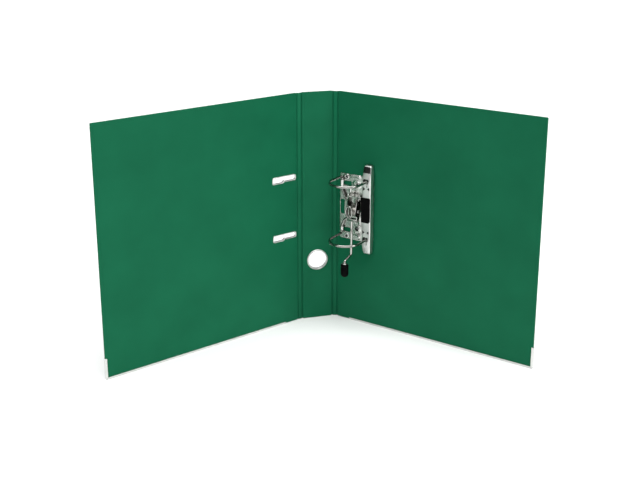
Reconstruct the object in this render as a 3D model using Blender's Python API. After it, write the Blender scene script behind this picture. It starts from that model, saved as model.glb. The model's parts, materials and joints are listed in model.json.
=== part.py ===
"""Lever arch file for A4 sheets, standing half open on its lower edges.

Each panel (front cover, spine, back cover) is modelled as if the open file lay flat and was seen from
inside: x runs to the right, y up the file and z out of the inner face. An empty on each cover's fold then
stands the panel up and turns it to its resting angle. The lever mechanism is modelled on the back cover.
"""
import math

import bmesh
import bpy
from mathutils import Euler, Matrix, Vector

MM = 0.001

# Driving dimensions, in millimetres and degrees
HEIGHT = 318.0
COVER_DEPTH = 285.0
SPINE_WIDTH = 41.0
GUTTER = 8.0
FRONT_ANGLE = 21.8
BACK_ANGLE = 48.6

# Layers of a panel, counted from its inner face outwards
LINING = 0.3
GLUE = 0.1
BOARD = 1.9
FOIL = 0.3
BOARD_TOP = -(LINING + GLUE)
BOARD_BOTTOM = BOARD_TOP - BOARD
FOIL_TOP = BOARD_BOTTOM - GLUE
FOIL_BOTTOM = FOIL_TOP - FOIL
EDGE_GAP = 0.3

# Metal edge protectors
PROTECTOR_WALL = 0.4
PROTECTOR_LIP = 2.6
PROTECTOR_START = 20.0
PROTECTOR_RISE = 28.0
COVER_FOOT = 0.5

# Finger hole in the spine
RING_HEIGHT = 85.0
RING_HOLE = 12.5
RING_FLANGE = 14.6

# Slots in the front cover and the two rings that pass through them
MECH_CENTRE = 165.0
RING_PITCH = 80.0
SLOT_CENTRE = 20.4
SLOT_LENGTH = 35.4
SLOT_HEIGHT = 7.8

# Rings: a fixed post on the right, an arch pivoted on the left
WIRE = 1.7
RING_RADIUS = 21.0
RING_CENTRE = 30.0
RING_SPRING_LINE = 28.5
JOINT_ANGLE = 15.0
AXIS_U = RING_CENTRE - RING_RADIUS
AXIS_H = 3.4
CRANK_REACH = 17.0
CRANK_LOW = 154.0
CRANK_HIGH = 164.5

# Base plate
PLATE_LOW = 0.2
PLATE_TOP = 1.2
PLATE_LEFT = 3.6
PLATE_RIGHT = 56.0
PLATE_CENTRE = 163.0
PLATE_HALF = 45.5

# Lever
PIVOT_V = 180.5
PIVOT_H = 10.0
LEVER_U = 32.2
CHEEK_REACH = 7.2
CHEEK_RADIUS = 7.0
ROLLER_V = 162.5
ROLLER_H = 12.7
ROLLER_RADIUS = 6.6
LOOP_CENTRE = (29.9, 162.6)
LOOP_H = 20.4
ROD_U = 29.0
ROD_H = 12.0
CAP_H = 28.5

# Compressor bar
BAR_CENTRE_U = 50.2
BAR_HALF_WIDTH = 6.4
BAR_HALF_LENGTH = 61.0
BAR_LOW = 2.2
BAR_TOP = 10.6
BAR_WALL = 0.8


def clear_scene():
    for old in list(bpy.data.objects):
        bpy.data.objects.remove(old, do_unlink=True)


def make_material(name, colour, metallic, roughness):
    material = bpy.data.materials.new(name)
    material.use_nodes = True
    shader = material.node_tree.nodes["Principled BSDF"]
    shader.inputs["Base Color"].default_value = (*colour, 1.0)
    shader.inputs["Metallic"].default_value = metallic
    shader.inputs["Roughness"].default_value = roughness
    material.diffuse_color = (*colour, 1.0)
    return material


def make_materials():
    return {
        "green": make_material("green_foil", (0.01, 0.13, 0.06), 0.0, 0.55),
        "board": make_material("grey_board", (0.42, 0.39, 0.35), 0.0, 0.9),
        "nickel": make_material("nickel", (0.72, 0.72, 0.69), 1.0, 0.25),
        "steel": make_material("dark_steel", (0.2, 0.2, 0.19), 1.0, 0.35),
        "plastic": make_material("black_plastic", (0.012, 0.012, 0.013), 0.0, 0.4),
        "paper": make_material("label_paper", (0.85, 0.85, 0.82), 0.0, 0.8),
        "pocket": make_material("label_pocket", (0.8, 0.82, 0.82), 0.0, 0.2),
    }


def empty(name, parent, at, turn=(0.0, 0.0, 0.0)):
    """An empty at a place in its parent's millimetres, turned by degrees about X, Y and Z."""
    axis = bpy.data.objects.new(name, None)
    bpy.context.collection.objects.link(axis)
    axis.parent = parent
    axis.location = Vector(at) * MM
    axis.rotation_euler = Euler([math.radians(a) for a in turn])
    return axis


def finish(name, bm, material, parent, origin=(0.0, 0.0, 0.0), smooth_above=None):
    """Turn a bmesh in the panel's millimetres into an object whose origin is at the given place."""
    bmesh.ops.remove_doubles(bm, verts=bm.verts, dist=1e-4)
    bmesh.ops.recalc_face_normals(bm, faces=bm.faces)
    bmesh.ops.translate(bm, verts=bm.verts, vec=-Vector(origin))
    bmesh.ops.scale(bm, verts=bm.verts, vec=(MM, MM, MM))
    mesh = bpy.data.meshes.new(name)
    bm.to_mesh(mesh)
    bm.free()
    part = bpy.data.objects.new(name, mesh)
    bpy.context.collection.objects.link(part)
    part.parent = parent
    part.location = Vector(origin) * MM - parent_offset(parent)
    if material:
        mesh.materials.append(material)
    if smooth_above is not None:
        mesh.shade_smooth()
        mesh.set_sharp_from_angle(angle=math.radians(smooth_above))
    return part


def parent_offset(parent):
    """Where a moving body's empty sits on its panel, so that its parts can use the panel's millimetres."""
    return Vector(parent.get("panel_offset", (0.0, 0.0, 0.0)))


def moving_empty(name, panel, at):
    """An empty on a joint axis of a panel, whose parts are still placed in the panel's millimetres."""
    axis = empty(name, panel, at)
    axis.location = Vector(at) * MM - parent_offset(panel)
    axis["panel_offset"] = tuple(Vector(at) * MM)
    return axis


def add_box(bm, low, high):
    low, high = Vector(low), Vector(high)
    middle, size = (low + high) / 2, high - low
    matrix = Matrix.Translation(middle) @ Matrix.Diagonal((*size, 1.0))
    bmesh.ops.create_cube(bm, size=1.0, matrix=matrix)


def add_prism(bm, outline, low, high, place=lambda x, y, z: (x, y, z)):
    """Extrude a closed outline of (x, y) points from z = low to z = high."""
    bottom = [bm.verts.new(place(x, y, low)) for x, y in outline]
    top = [bm.verts.new(place(x, y, high)) for x, y in outline]
    bm.faces.new(bottom[::-1])
    bm.faces.new(top)
    for i in range(len(outline)):
        j = (i + 1) % len(outline)
        bm.faces.new((bottom[i], bottom[j], top[j], top[i]))


def add_turned(bm, profile, centre, axis, sides=32):
    """Turn a closed (radius, height) profile about an axis through a centre; radius 0 closes on the axis."""
    turn = Vector((0, 0, 1)).rotation_difference(Vector(axis)).to_matrix()
    rings = []
    for radius, height in profile:
        steps = [2 * math.pi * i / sides for i in range(sides)] if radius > 1e-6 else [0.0]
        points = [Vector((radius * math.cos(a), radius * math.sin(a), height)) for a in steps]
        rings.append([bm.verts.new(Vector(centre) + turn @ p) for p in points])
    for ring, after in zip(rings, rings[1:] + rings[:1]):
        if len(ring) == 1 and len(after) == 1:
            continue
        for i in range(sides):
            j = (i + 1) % sides
            corners = [ring[i % len(ring)], ring[j % len(ring)], after[j % len(after)], after[i % len(after)]]
            bm.faces.new(list(dict.fromkeys(corners)))


def rounded_outline(centre, size, radius, steps=6):
    """A rectangle with round corners as a list of points, anticlockwise."""
    (cx, cy), (width, height) = centre, size
    outline = []
    for sx, sy, start in ((1, 1, 0), (-1, 1, 90), (-1, -1, 180), (1, -1, 270)):
        corner = (cx + sx * (width / 2 - radius), cy + sy * (height / 2 - radius))
        for i in range(steps + 1):
            angle = math.radians(start + 90 * i / steps)
            outline.append((corner[0] + radius * math.cos(angle), corner[1] + radius * math.sin(angle)))
    return outline


def filleted_path(corners, radii, steps=7):
    """A polyline through corners in space, each inner corner rounded with its own bend radius."""
    corners = [Vector(c) for c in corners]
    path = [corners[0]]
    for i, radius in enumerate(radii, start=1):
        before = (corners[i - 1] - corners[i]).normalized()
        after = (corners[i + 1] - corners[i]).normalized()
        half = before.angle(after) / 2
        reach = radius / math.tan(half)
        centre = corners[i] + (before + after).normalized() * (radius / math.sin(half))
        start, end = corners[i] + before * reach - centre, corners[i] + after * reach - centre
        sweep = start.angle(end)
        for k in range(steps + 1):
            t = k / steps
            blend = (math.sin((1 - t) * sweep) * start + math.sin(t * sweep) * end) / math.sin(sweep)
            path.append(centre + blend)
    path.append(corners[-1])
    return path


def add_tube(bm, path, radii, sides=12):
    """Sweep a circle along a path, with one radius for each point and flat ends."""
    tangents = []
    for i in range(len(path)):
        a, b = path[max(i - 1, 0)], path[min(i + 1, len(path) - 1)]
        tangents.append((b - a).normalized())
    side = tangents[0].orthogonal().normalized()
    rings = []
    for i, (point, tangent, radius) in enumerate(zip(path, tangents, radii)):
        if i:
            side = tangents[i - 1].rotation_difference(tangent) @ side
        side = (side - tangent * side.dot(tangent)).normalized()
        up = tangent.cross(side)
        angles = [2 * math.pi * k / sides for k in range(sides)]
        ring = [point + radius * (math.cos(a) * side + math.sin(a) * up) for a in angles]
        rings.append([bm.verts.new(p) for p in ring])
    for ring, after in zip(rings, rings[1:]):
        for k in range(sides):
            n = (k + 1) % sides
            bm.faces.new((ring[k], ring[n], after[n], after[k]))
    bm.faces.new(rings[0][::-1])
    bm.faces.new(rings[-1])


def cutter(name, bm, parent):
    tool = finish(name, bm, None, parent)
    tool.hide_render = True
    tool.display_type = "WIRE"
    return tool


def boolean(part, tool, operation="DIFFERENCE"):
    step = part.modifiers.new(tool.name, "BOOLEAN")
    step.operation = operation
    step.solver = "EXACT"
    step.object = tool


def box_part(name, low, high, material, parent):
    bm = bmesh.new()
    add_box(bm, low, high)
    return finish(name, bm, material, parent)


def box_cutter(name, low, high, parent):
    bm = bmesh.new()
    add_box(bm, low, high)
    return cutter(name, bm, parent)


def turned_part(name, profile, centre, axis, material, parent, origin=(0.0, 0.0, 0.0), sides=32):
    bm = bmesh.new()
    add_turned(bm, profile, centre, axis, sides)
    return finish(name, bm, material, parent, origin, smooth_above=40)


def hole_cutter(name, centre, radius, parent, reach=8.0, axis=(0, 0, 1), sides=24):
    bm = bmesh.new()
    add_turned(bm, [(0, -reach), (radius, -reach), (radius, reach), (0, reach)], centre, axis, sides)
    return cutter(name, bm, parent)


# ---------------------------------------------------------------- panels


def flip(side, low, high):
    """A box given by its distances from the fold, on the left (-1) or the right (+1) of it."""
    xs = sorted((side * low[0], side * high[0]))
    return (xs[0], low[1], low[2]), (xs[1], high[1], high[2])


def make_frames():
    """Stand the three panels up: empties on the joint axes, and one at each panel's inner fold."""
    upright = (90.0, 0.0, 0.0)
    half_thickness = -FOIL_BOTTOM / 2
    spine = empty("spine_plane", None, (0, -half_thickness, 0), upright)
    frames = {"spine": spine}
    for name, side, angle in (("front", -1, FRONT_ANGLE), ("back", 1, BACK_ANGLE)):
        half = math.radians(angle / 2)
        crease = Vector((side * SPINE_WIDTH / 2, -half_thickness, 0))
        step = Vector((side * math.cos(half), -math.sin(half), 0)) * GUTTER / 2
        axis = empty(f"{name}_cover_axis", None, crease + step, (90.0, 0.0, -side * angle))
        offset = (side * GUTTER / 2 * math.cos(half), 0, -GUTTER / 2 * math.sin(half))
        frames[name] = empty(f"{name}_cover_plane", axis, offset)
    return frames


def make_spine(frame, materials):
    half = SPINE_WIDTH / 2
    tool = hole_cutter("finger_hole_cut", (0, RING_HEIGHT, 0), RING_HOLE + 1.4, frame, sides=40)
    board = box_part(
        "spine_board",
        (EDGE_GAP * 2 - half, EDGE_GAP * 2, BOARD_BOTTOM),
        (half - EDGE_GAP * 2, HEIGHT - EDGE_GAP * 2, BOARD_TOP),
        materials["board"],
        frame,
    )
    foil = box_part("spine_foil", (-half, 0, FOIL_BOTTOM), (half, HEIGHT, 0), materials["green"], frame)
    tray = box_cutter("spine_foil_cut", (-half - 9, FOIL, FOIL_TOP), (half + 9, HEIGHT - FOIL, 9), frame)
    boolean(foil, tray)
    lining = box_part(
        "spine_lining",
        (EDGE_GAP - half, EDGE_GAP * 2, -LINING),
        (half - EDGE_GAP, HEIGHT - EDGE_GAP * 2, 0),
        materials["green"],
        frame,
    )
    for part in (board, foil, lining):
        boolean(part, tool)
    make_finger_ring(frame, materials)
    make_label(frame, materials)
    for name, side, angle in (("front", -1, FRONT_ANGLE), ("back", 1, BACK_ANGLE)):
        make_hinge_strip(name, side, angle, frame, materials)


def make_finger_ring(frame, materials):
    """A two-piece eyelet: an outer flange with its tube, and a curled ring that clips on from inside."""
    centre = (0, RING_HEIGHT, 0)
    wall = RING_HOLE + 0.6
    outer = FOIL_BOTTOM - 0.2
    shell = [
        (RING_HOLE, outer - 0.7),
        (RING_FLANGE - 0.5, outer - 0.7),
        (RING_FLANGE, outer - 0.35),
        (RING_FLANGE, outer),
        (wall, outer),
        (wall, 0.9),
        (RING_HOLE, 0.9),
    ]
    turned_part("finger_ring", shell, centre, (0, 0, 1), materials["nickel"], frame, sides=40)
    inner = wall + 0.3
    curl = [(inner, 0.2), (RING_FLANGE, 0.2), (RING_FLANGE, 0.6), (RING_FLANGE - 0.7, 1.1), (inner, 1.1)]
    turned_part("finger_ring_washer", curl, centre, (0, 0, 1), materials["nickel"], frame, sides=40)


def make_label(frame, materials):
    """A clear pocket on the outside of the spine, open at its top, with a blank paper label in it."""
    pocket_low, pocket_high, half = 105.0, 297.0, 18.5
    back = FOIL_BOTTOM - 0.1
    pocket = box_part(
        "spine_label_pocket",
        (-half, pocket_low, back - 0.9),
        (half, pocket_high, back),
        materials["pocket"],
        frame,
    )
    room = box_cutter(
        "label_room",
        (-half + 1.2, pocket_low + 1.2, back - 0.65),
        (half - 1.2, pocket_high + 5, back - 0.2),
        frame,
    )
    boolean(pocket, room)
    box_part(
        "spine_label",
        (-half + 1.6, pocket_low + 1.6, back - 0.55),
        (half - 1.6, pocket_high - 2, back - 0.3),
        materials["paper"],
        frame,
    )


def make_hinge_strip(name, side, angle, frame, materials):
    """The bare foil between spine and cover, which folds at both of its edges."""
    half = math.radians(angle / 2)
    along = Vector((side * math.cos(half), math.sin(half)))
    inward = Vector((-side * math.sin(half), math.cos(half)))
    start = Vector((side * SPINE_WIDTH / 2, 0))
    near, far, thick = 0.4, GUTTER - 0.6, 0.6
    section = [
        start + along * near,
        start + along * far,
        start + along * far - inward * thick,
        start + along * near - inward * thick,
    ]
    bm = bmesh.new()
    add_prism(bm, section, COVER_FOOT, HEIGHT - EDGE_GAP, lambda x, y, z: (x, z, y))
    finish(f"{name}_hinge_strip", bm, materials["green"], frame)


def make_cover(name, side, frame, materials, cutters):
    """Board, outer foil with turned edges, lining and edge protector of one cover."""
    edge = COVER_DEPTH - COVER_FOOT
    foot = COVER_FOOT
    board_box = flip(
        side,
        (EDGE_GAP * 2, foot + EDGE_GAP * 2, BOARD_BOTTOM),
        (edge - EDGE_GAP * 2, HEIGHT - EDGE_GAP * 2, BOARD_TOP),
    )
    board = box_part(f"{name}_board", *board_box, materials["board"], frame)
    foil_box = flip(side, (0, foot, FOIL_BOTTOM), (edge, HEIGHT, 0))
    foil = box_part(f"{name}_foil", *foil_box, materials["green"], frame)
    tray = flip(side, (-9, foot + FOIL, FOIL_TOP), (edge - FOIL, HEIGHT - FOIL, 9))
    boolean(foil, box_cutter(f"{name}_foil_cut", *tray, frame))
    lining_box = flip(
        side,
        (EDGE_GAP, foot + EDGE_GAP * 2, -LINING),
        (edge - EDGE_GAP * 2, HEIGHT - EDGE_GAP * 2, 0),
    )
    lining = box_part(f"{name}_lining", *lining_box, materials["green"], frame)
    for part in (board, foil, lining):
        for tool in cutters:
            boolean(part, tool)
    make_protector(name, side, frame, materials)


def make_protector(name, side, frame, materials):
    """A thin metal channel along the lower edge and a short way up the outer edge."""
    low_h, high_h = FOIL_BOTTOM - PROTECTOR_WALL - 0.1, PROTECTOR_WALL + 0.1
    foot = flip(side, (PROTECTOR_START, 0, low_h), (COVER_DEPTH, PROTECTOR_LIP, high_h))
    protector = box_part(f"{name}_edge_protector", *foot, materials["nickel"], frame)
    rise = flip(side, (COVER_DEPTH - PROTECTOR_LIP, 0, low_h), (COVER_DEPTH, PROTECTOR_RISE, high_h))
    boolean(protector, box_cutter(f"{name}_protector_rise", *rise, frame), "UNION")
    wall = PROTECTOR_WALL
    groove = flip(side, (-9, wall, low_h + wall), (COVER_DEPTH - wall, HEIGHT, high_h - wall))
    boolean(protector, box_cutter(f"{name}_protector_groove", *groove, frame))


def slot_places():
    for name, sign in (("upper", 1), ("lower", -1)):
        yield name, (-SLOT_CENTRE, MECH_CENTRE + sign * RING_PITCH / 2)


def make_front_cover(frame, materials):
    cutters = []
    for name, place in slot_places():
        bm = bmesh.new()
        hole = rounded_outline(place, (SLOT_LENGTH + 1.2, SLOT_HEIGHT + 1.2), 2.3)
        add_prism(bm, hole, FOIL_BOTTOM - 5, 5)
        cutters.append(cutter(f"slot_cut_{name}", bm, frame))
    make_cover("front", -1, frame, materials, cutters)
    for name, place in slot_places():
        make_slot_eyelet(name, place, frame, materials)


def make_slot_eyelet(name, place, frame, materials):
    """A pressed metal frame through the slot, and the backing frame that holds it from outside."""
    through = rounded_outline(place, (SLOT_LENGTH, SLOT_HEIGHT), 1.8)
    bm = bmesh.new()
    add_prism(bm, through, FOIL_BOTTOM - 9, 9)
    opening = cutter(f"slot_opening_{name}", bm, frame)
    bm = bmesh.new()
    flange = rounded_outline(place, (SLOT_LENGTH + 2.2, SLOT_HEIGHT + 2.2), 2.8)
    add_prism(bm, flange, 0.15, 0.6)
    eyelet = finish(f"slot_eyelet_{name}", bm, materials["nickel"], frame)
    bm = bmesh.new()
    neck = rounded_outline(place, (SLOT_LENGTH + 0.8, SLOT_HEIGHT + 0.8), 2.1)
    add_prism(bm, neck, FOIL_BOTTOM - 0.7, 0.4)
    boolean(eyelet, cutter(f"slot_neck_{name}", bm, frame), "UNION")
    boolean(eyelet, opening)
    bm = bmesh.new()
    add_prism(bm, flange, FOIL_BOTTOM - 0.65, FOIL_BOTTOM - 0.15)
    backing = finish(f"slot_backing_{name}", bm, materials["nickel"], frame)
    bm = bmesh.new()
    clearance = rounded_outline(place, (SLOT_LENGTH + 1.1, SLOT_HEIGHT + 1.1), 2.2)
    add_prism(bm, clearance, FOIL_BOTTOM - 9, 9)
    boolean(backing, cutter(f"slot_backing_cut_{name}", bm, frame))


# ---------------------------------------------------------------- mechanism


def rivet_places():
    for name, u, v, reach in (("spine_side", 15.0, PLATE_CENTRE, 41.5), ("leaf_side", 31.5, MECH_CENTRE, 31.0)):
        for end, sign in (("upper", 1), ("lower", -1)):
            yield f"{name}_{end}", (u, v + sign * reach)


def make_back_cover(frame, materials):
    cutters = [
        hole_cutter(f"rivet_hole_{name}", (*place, 0), 2.9, frame, sides=16)
        for name, place in rivet_places()
    ]
    make_cover("back", 1, frame, materials, cutters)
    plate = make_base_plate(frame, materials)
    for tool in cutters:
        boolean(plate, tool)
    for name, place in rivet_places():
        make_rivet(name, place, frame, materials)
    for name, sign in (("upper", 1), ("lower", -1)):
        make_post(name, MECH_CENTRE + sign * RING_PITCH / 2, frame, materials)
    make_pivot_pin(frame, materials)


def make_base_plate(frame, materials):
    """Pressed steel plate: windows, curled bearings for the arch wire and two ears for the lever."""
    bm = bmesh.new()
    middle = ((PLATE_LEFT + PLATE_RIGHT) / 2, PLATE_CENTRE)
    size = (PLATE_RIGHT - PLATE_LEFT, 2 * PLATE_HALF)
    add_prism(bm, rounded_outline(middle, size, 4.0), PLATE_LOW, PLATE_TOP)
    plate = finish("base_plate", bm, materials["nickel"], frame)
    windows = {
        "upper": ((15.5, MECH_CENTRE + 30.5), (13.0, 6.0)),
        "lower": ((14.8, MECH_CENTRE - 34.5), (11.5, 6.0)),
        "side": ((8.0, MECH_CENTRE - 3.0), (6.0, 20.0)),
        "under_bar": ((BAR_CENTRE_U, MECH_CENTRE), (8.6, 66.0)),
    }
    for name, (centre, extent) in windows.items():
        bm = bmesh.new()
        add_prism(bm, rounded_outline(centre, extent, 1.2, steps=4), -5, 5)
        boolean(plate, cutter(f"plate_window_{name}", bm, frame))
    for name, low, high, sides in (("lower", 129.8, 134.5, 20), ("upper", 191.0, 200.2, 22)):
        bearing = (AXIS_U, (low + high) / 2, AXIS_H)
        half = (high - low) / 2
        curl = [(2.0, -half), (2.9, -half), (2.9, half), (2.0, half)]
        bm = bmesh.new()
        add_turned(bm, curl, bearing, (0, 1, 0), sides)
        boolean(plate, cutter(f"bearing_{name}", bm, frame), "UNION")
    for name, offset in (("left", -8.4), ("right", 8.4)):
        add_ear(plate, name, LEVER_U + offset, frame)
    boolean(plate, hole_cutter("pivot_bore", (LEVER_U, PIVOT_V, PIVOT_H), 1.7, frame, 12, (1, 0, 0), 20))
    return plate


def add_ear(plate, name, u, frame):
    """An upright ear with a round top, joined to the base plate."""
    thickness, half_foot, radius = 1.0, 6.5, 4.6
    arc = [math.radians(a) for a in range(0, 181, 18)]
    outline = [(PIVOT_V + radius * math.cos(a), PIVOT_H + radius * math.sin(a)) for a in arc]
    outline += [(PIVOT_V - half_foot, PLATE_LOW + 0.3), (PIVOT_V + half_foot, PLATE_LOW + 0.3)]
    bm = bmesh.new()
    half = thickness / 2
    add_prism(bm, outline, u - half, u + half, lambda x, y, z: (z, x, y))
    boolean(plate, cutter(f"ear_{name}", bm, frame), "UNION")


def make_rivet(name, place, frame, materials):
    """A tubular rivet: a rolled head on the plate, a shank through the cover and a foot outside."""
    head, foot = PLATE_TOP + 0.25, FOIL_BOTTOM - 0.2
    profile = [
        (1.9, head + 0.9),
        (3.0, head + 0.9),
        (3.9, head + 0.4),
        (3.9, head),
        (2.6, head),
        (2.6, foot),
        (3.9, foot),
        (3.9, foot - 0.3),
        (3.2, foot - 0.6),
        (1.9, foot - 0.6),
    ]
    turned_part(f"rivet_{name}", profile, (*place, 0), (0, 0, 1), materials["nickel"], frame, sides=18)


def make_pivot_pin(frame, materials):
    left, right = LEVER_U - 9.15, LEVER_U + 9.15
    profile = [
        (0, left - 0.9),
        (1.8, left - 0.9),
        (2.5, left - 0.4),
        (2.5, left),
        (1.4, left),
        (1.4, right),
        (2.5, right),
        (2.5, right + 0.4),
        (1.8, right + 0.9),
        (0, right + 0.9),
    ]
    centre = (0, PIVOT_V, PIVOT_H)
    turned_part("lever_pivot_pin", profile, centre, (1, 0, 0), materials["nickel"], frame, sides=20)


def ring_point(angle, v):
    """A point on the ring's arc, at an angle in degrees above the spring line on the post's side."""
    a = math.radians(angle)
    return Vector((RING_CENTRE + RING_RADIUS * math.cos(a), v, RING_SPRING_LINE + RING_RADIUS * math.sin(a)))


def make_post(name, v, frame, materials):
    """A fixed post with a collar at its foot and a shallow socket in its bent top for the arch's tip."""
    u = RING_CENTRE + RING_RADIUS
    foot = PLATE_TOP + 0.3
    heights = (foot, foot + 1.2, foot + 1.9)
    path = [Vector((u, v, h)) for h in heights]
    path += [ring_point(JOINT_ANGLE * i / 3, v) for i in range(4)]
    radii = [3.2, 3.2, WIRE] + [WIRE] * 4
    bm = bmesh.new()
    add_tube(bm, path, radii)
    post = finish(f"post_{name}", bm, materials["nickel"], frame, smooth_above=50)
    end = ring_point(JOINT_ANGLE, v)
    along = end - ring_point(JOINT_ANGLE - 1, v)
    bm = bmesh.new()
    socket = [(0, -1.5), (0.8, -1.5), (1.35, 0.2), (0, 0.2)]
    add_turned(bm, socket, end, along, 12)
    boolean(post, cutter(f"socket_{name}", bm, frame))


def make_arches(frame, materials):
    """Both arches and the crank between them, bent from one wire that turns in the plate's bearings."""
    axis = moving_empty("arch_axis", frame, (AXIS_U, MECH_CENTRE, AXIS_H))
    low, high = MECH_CENTRE - RING_PITCH / 2, MECH_CENTRE + RING_PITCH / 2
    crank_u = AXIS_U + CRANK_REACH
    arc = [JOINT_ANGLE + 0.9 + (180 - JOINT_ANGLE - 0.9) * i / 22 for i in range(23)]
    run = [
        (AXIS_U, low, RING_SPRING_LINE - 1),
        (AXIS_U, low, AXIS_H),
        (AXIS_U, 136.0, AXIS_H),
        (AXIS_U + 3.5, 144.5, AXIS_H),
        (crank_u, CRANK_LOW, AXIS_H),
        (crank_u, CRANK_HIGH, AXIS_H),
        (AXIS_U + 5.0, 176.0, AXIS_H),
        (AXIS_U, 187.5, AXIS_H),
        (AXIS_U, high, AXIS_H),
        (AXIS_U, high, RING_SPRING_LINE - 1),
    ]
    middle = filleted_path(run, (4.0, 6.0, 5.0, 2.6, 2.6, 6.0, 8.0, 4.0))
    path = [ring_point(a, low) for a in arc] + middle + [ring_point(a, high) for a in reversed(arc)]
    radii = [WIRE] * len(path)
    for v, first in ((low, True), (high, False)):
        tip = ring_point(arc[0], v)
        along = (tip - ring_point(arc[0] + 1, v)).normalized()
        points = [tip + along * 1.15, tip]
        path = points + path if first else path + points[::-1]
        radii = [0.35, 0.75] + radii if first else radii + [0.75, 0.35]
    bm = bmesh.new()
    add_tube(bm, path, radii)
    origin = (AXIS_U, MECH_CENTRE, AXIS_H)
    finish("arch_wire", bm, materials["nickel"], axis, origin, smooth_above=50)


def make_lever(frame, materials):
    pivot = (LEVER_U, PIVOT_V, PIVOT_H)
    axis = moving_empty("lever_axis", frame, pivot)
    make_yoke(axis, materials, pivot)
    make_rod(axis, materials, pivot)
    pin_left, pin_right = LEVER_U - CHEEK_REACH - 0.3, LEVER_U + CHEEK_REACH + 0.3
    pin = [
        (0, pin_left - 0.7),
        (1.9, pin_left - 0.7),
        (1.9, pin_left),
        (1.2, pin_left),
        (1.2, pin_right),
        (1.9, pin_right),
        (1.9, pin_right + 0.7),
        (0, pin_right + 0.7),
    ]
    centre = (0, ROLLER_V, ROLLER_H)
    turned_part("roller_pin", pin, centre, (1, 0, 0), materials["nickel"], axis, pivot, sides=16)
    make_roller(axis, materials)


def cheek_outline():
    """The yoke's side in (v, h): a boss round the pivot, a disc behind the roller and a short tail."""
    outline = []
    for degrees in range(-90, 91, 18):
        a = math.radians(degrees)
        outline.append((PIVOT_V + 4.2 * math.cos(a), PIVOT_H + 4.2 * math.sin(a)))
    for degrees in range(90, 181, 15):
        a = math.radians(degrees)
        outline.append((ROLLER_V + CHEEK_RADIUS * math.cos(a), ROLLER_H + CHEEK_RADIUS * math.sin(a)))
    outline += [(149.0, 15.6), (148.0, 14.6), (148.0, 10.4), (149.0, 9.4)]
    for degrees in range(225, 271, 15):
        a = math.radians(degrees)
        outline.append((ROLLER_V + CHEEK_RADIUS * math.cos(a), ROLLER_H + CHEEK_RADIUS * math.sin(a)))
    return outline


def make_yoke(axis, materials, pivot):
    """Two cheeks and the bridge between them, which holds the rod."""
    bm = bmesh.new()
    left, right = LEVER_U - CHEEK_REACH, LEVER_U + CHEEK_REACH
    add_prism(bm, cheek_outline(), left, right, lambda x, y, z: (z, x, y))
    yoke = finish("lever_yoke", bm, materials["nickel"], axis, pivot)
    room = box_cutter("yoke_room", (left + 1, 151.9, -20), (right - 1, 204, 40), axis.parent)
    boolean(yoke, room)
    foot_low, foot_high = (left, ROLLER_V - 6, ROLLER_H), (left + 1, ROLLER_V + 3, LOOP_H)
    foot = box_cutter("yoke_loop_foot", foot_low, foot_high, axis.parent)
    boolean(yoke, foot, "UNION")
    boolean(yoke, loop_cutter(axis.parent), "UNION")
    for name, place, radius in (
        ("pivot", (LEVER_U, PIVOT_V, PIVOT_H), 1.7),
        ("roller", (LEVER_U, ROLLER_V, ROLLER_H), 1.5),
    ):
        boolean(yoke, hole_cutter(f"yoke_bore_{name}", place, radius, axis.parent, 9, (1, 0, 0), 20))
    rod_hole = hole_cutter("yoke_rod_bore", (ROD_U, 149.5, ROD_H), WIRE + 0.3, axis.parent, 4, (0, 1, 0), 16)
    boolean(yoke, rod_hole)


def loop_cutter(parent):
    """An oval wire loop with a bar across it, lying over the roller and joined to the left cheek."""
    cu, cv = LOOP_CENTRE
    half_u, half_v, radius = 4.7, 7.7, 0.8
    turns = [2 * math.pi * i / 28 for i in range(28)]
    bm = bmesh.new()
    rings = []
    for a in turns:
        point = Vector((cu + half_u * math.cos(a), cv + half_v * math.sin(a), LOOP_H))
        out = Vector((half_v * math.cos(a), half_u * math.sin(a), 0)).normalized()
        section = [2 * math.pi * (k + 0.5) / 8 for k in range(8)]
        ring = [point + radius * (math.cos(b) * out + Vector((0, 0, math.sin(b)))) for b in section]
        rings.append([bm.verts.new(p) for p in ring])
    for ring, after in zip(rings, rings[1:] + rings[:1]):
        for k in range(8):
            n = (k + 1) % 8
            bm.faces.new((ring[k], ring[n], after[n], after[k]))
    loop = cutter("yoke_loop", bm, parent)
    bar_low, bar_high = (cu - 0.6, cv - half_v, LOOP_H - 0.4), (cu + 0.6, cv + half_v, LOOP_H + 0.5)
    boolean(loop, box_cutter("yoke_loop_bar", bar_low, bar_high, parent), "UNION")
    return loop


def make_rod(axis, materials, pivot):
    """The rod hangs from the yoke, steps outwards and ends in a black cap with a bright collar."""
    corners = [
        (ROD_U, 151.3, ROD_H),
        (ROD_U, 100.8, ROD_H),
        (ROD_U, 96.2, CAP_H),
        (ROD_U, 81.1, CAP_H),
    ]
    path = filleted_path(corners, (2.6, 2.6), steps=5)
    bm = bmesh.new()
    add_tube(bm, path, [WIRE] * len(path))
    finish("lever_rod", bm, materials["nickel"], axis, pivot, smooth_above=50)
    centre = (ROD_U, 0, CAP_H)
    collar = [(2.0, 92.0), (3.0, 92.0), (3.3, 92.5), (3.3, 93.4), (2.9, 93.8), (2.0, 93.8)]
    turned_part("lever_collar", collar, centre, (0, 1, 0), materials["nickel"], axis, pivot, sides=24)
    cap = [(2.0, 91.7), (4.7, 91.7), (5.2, 91.0), (5.2, 79.4), (4.9, 77.2), (3.9, 75.4), (2.4, 74.4)]
    cap += [(0, 74.1), (0, 80.7), (2.0, 80.7)]
    turned_part("lever_cap", cap, centre, (0, 1, 0), materials["plastic"], axis, pivot, sides=24)


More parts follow.
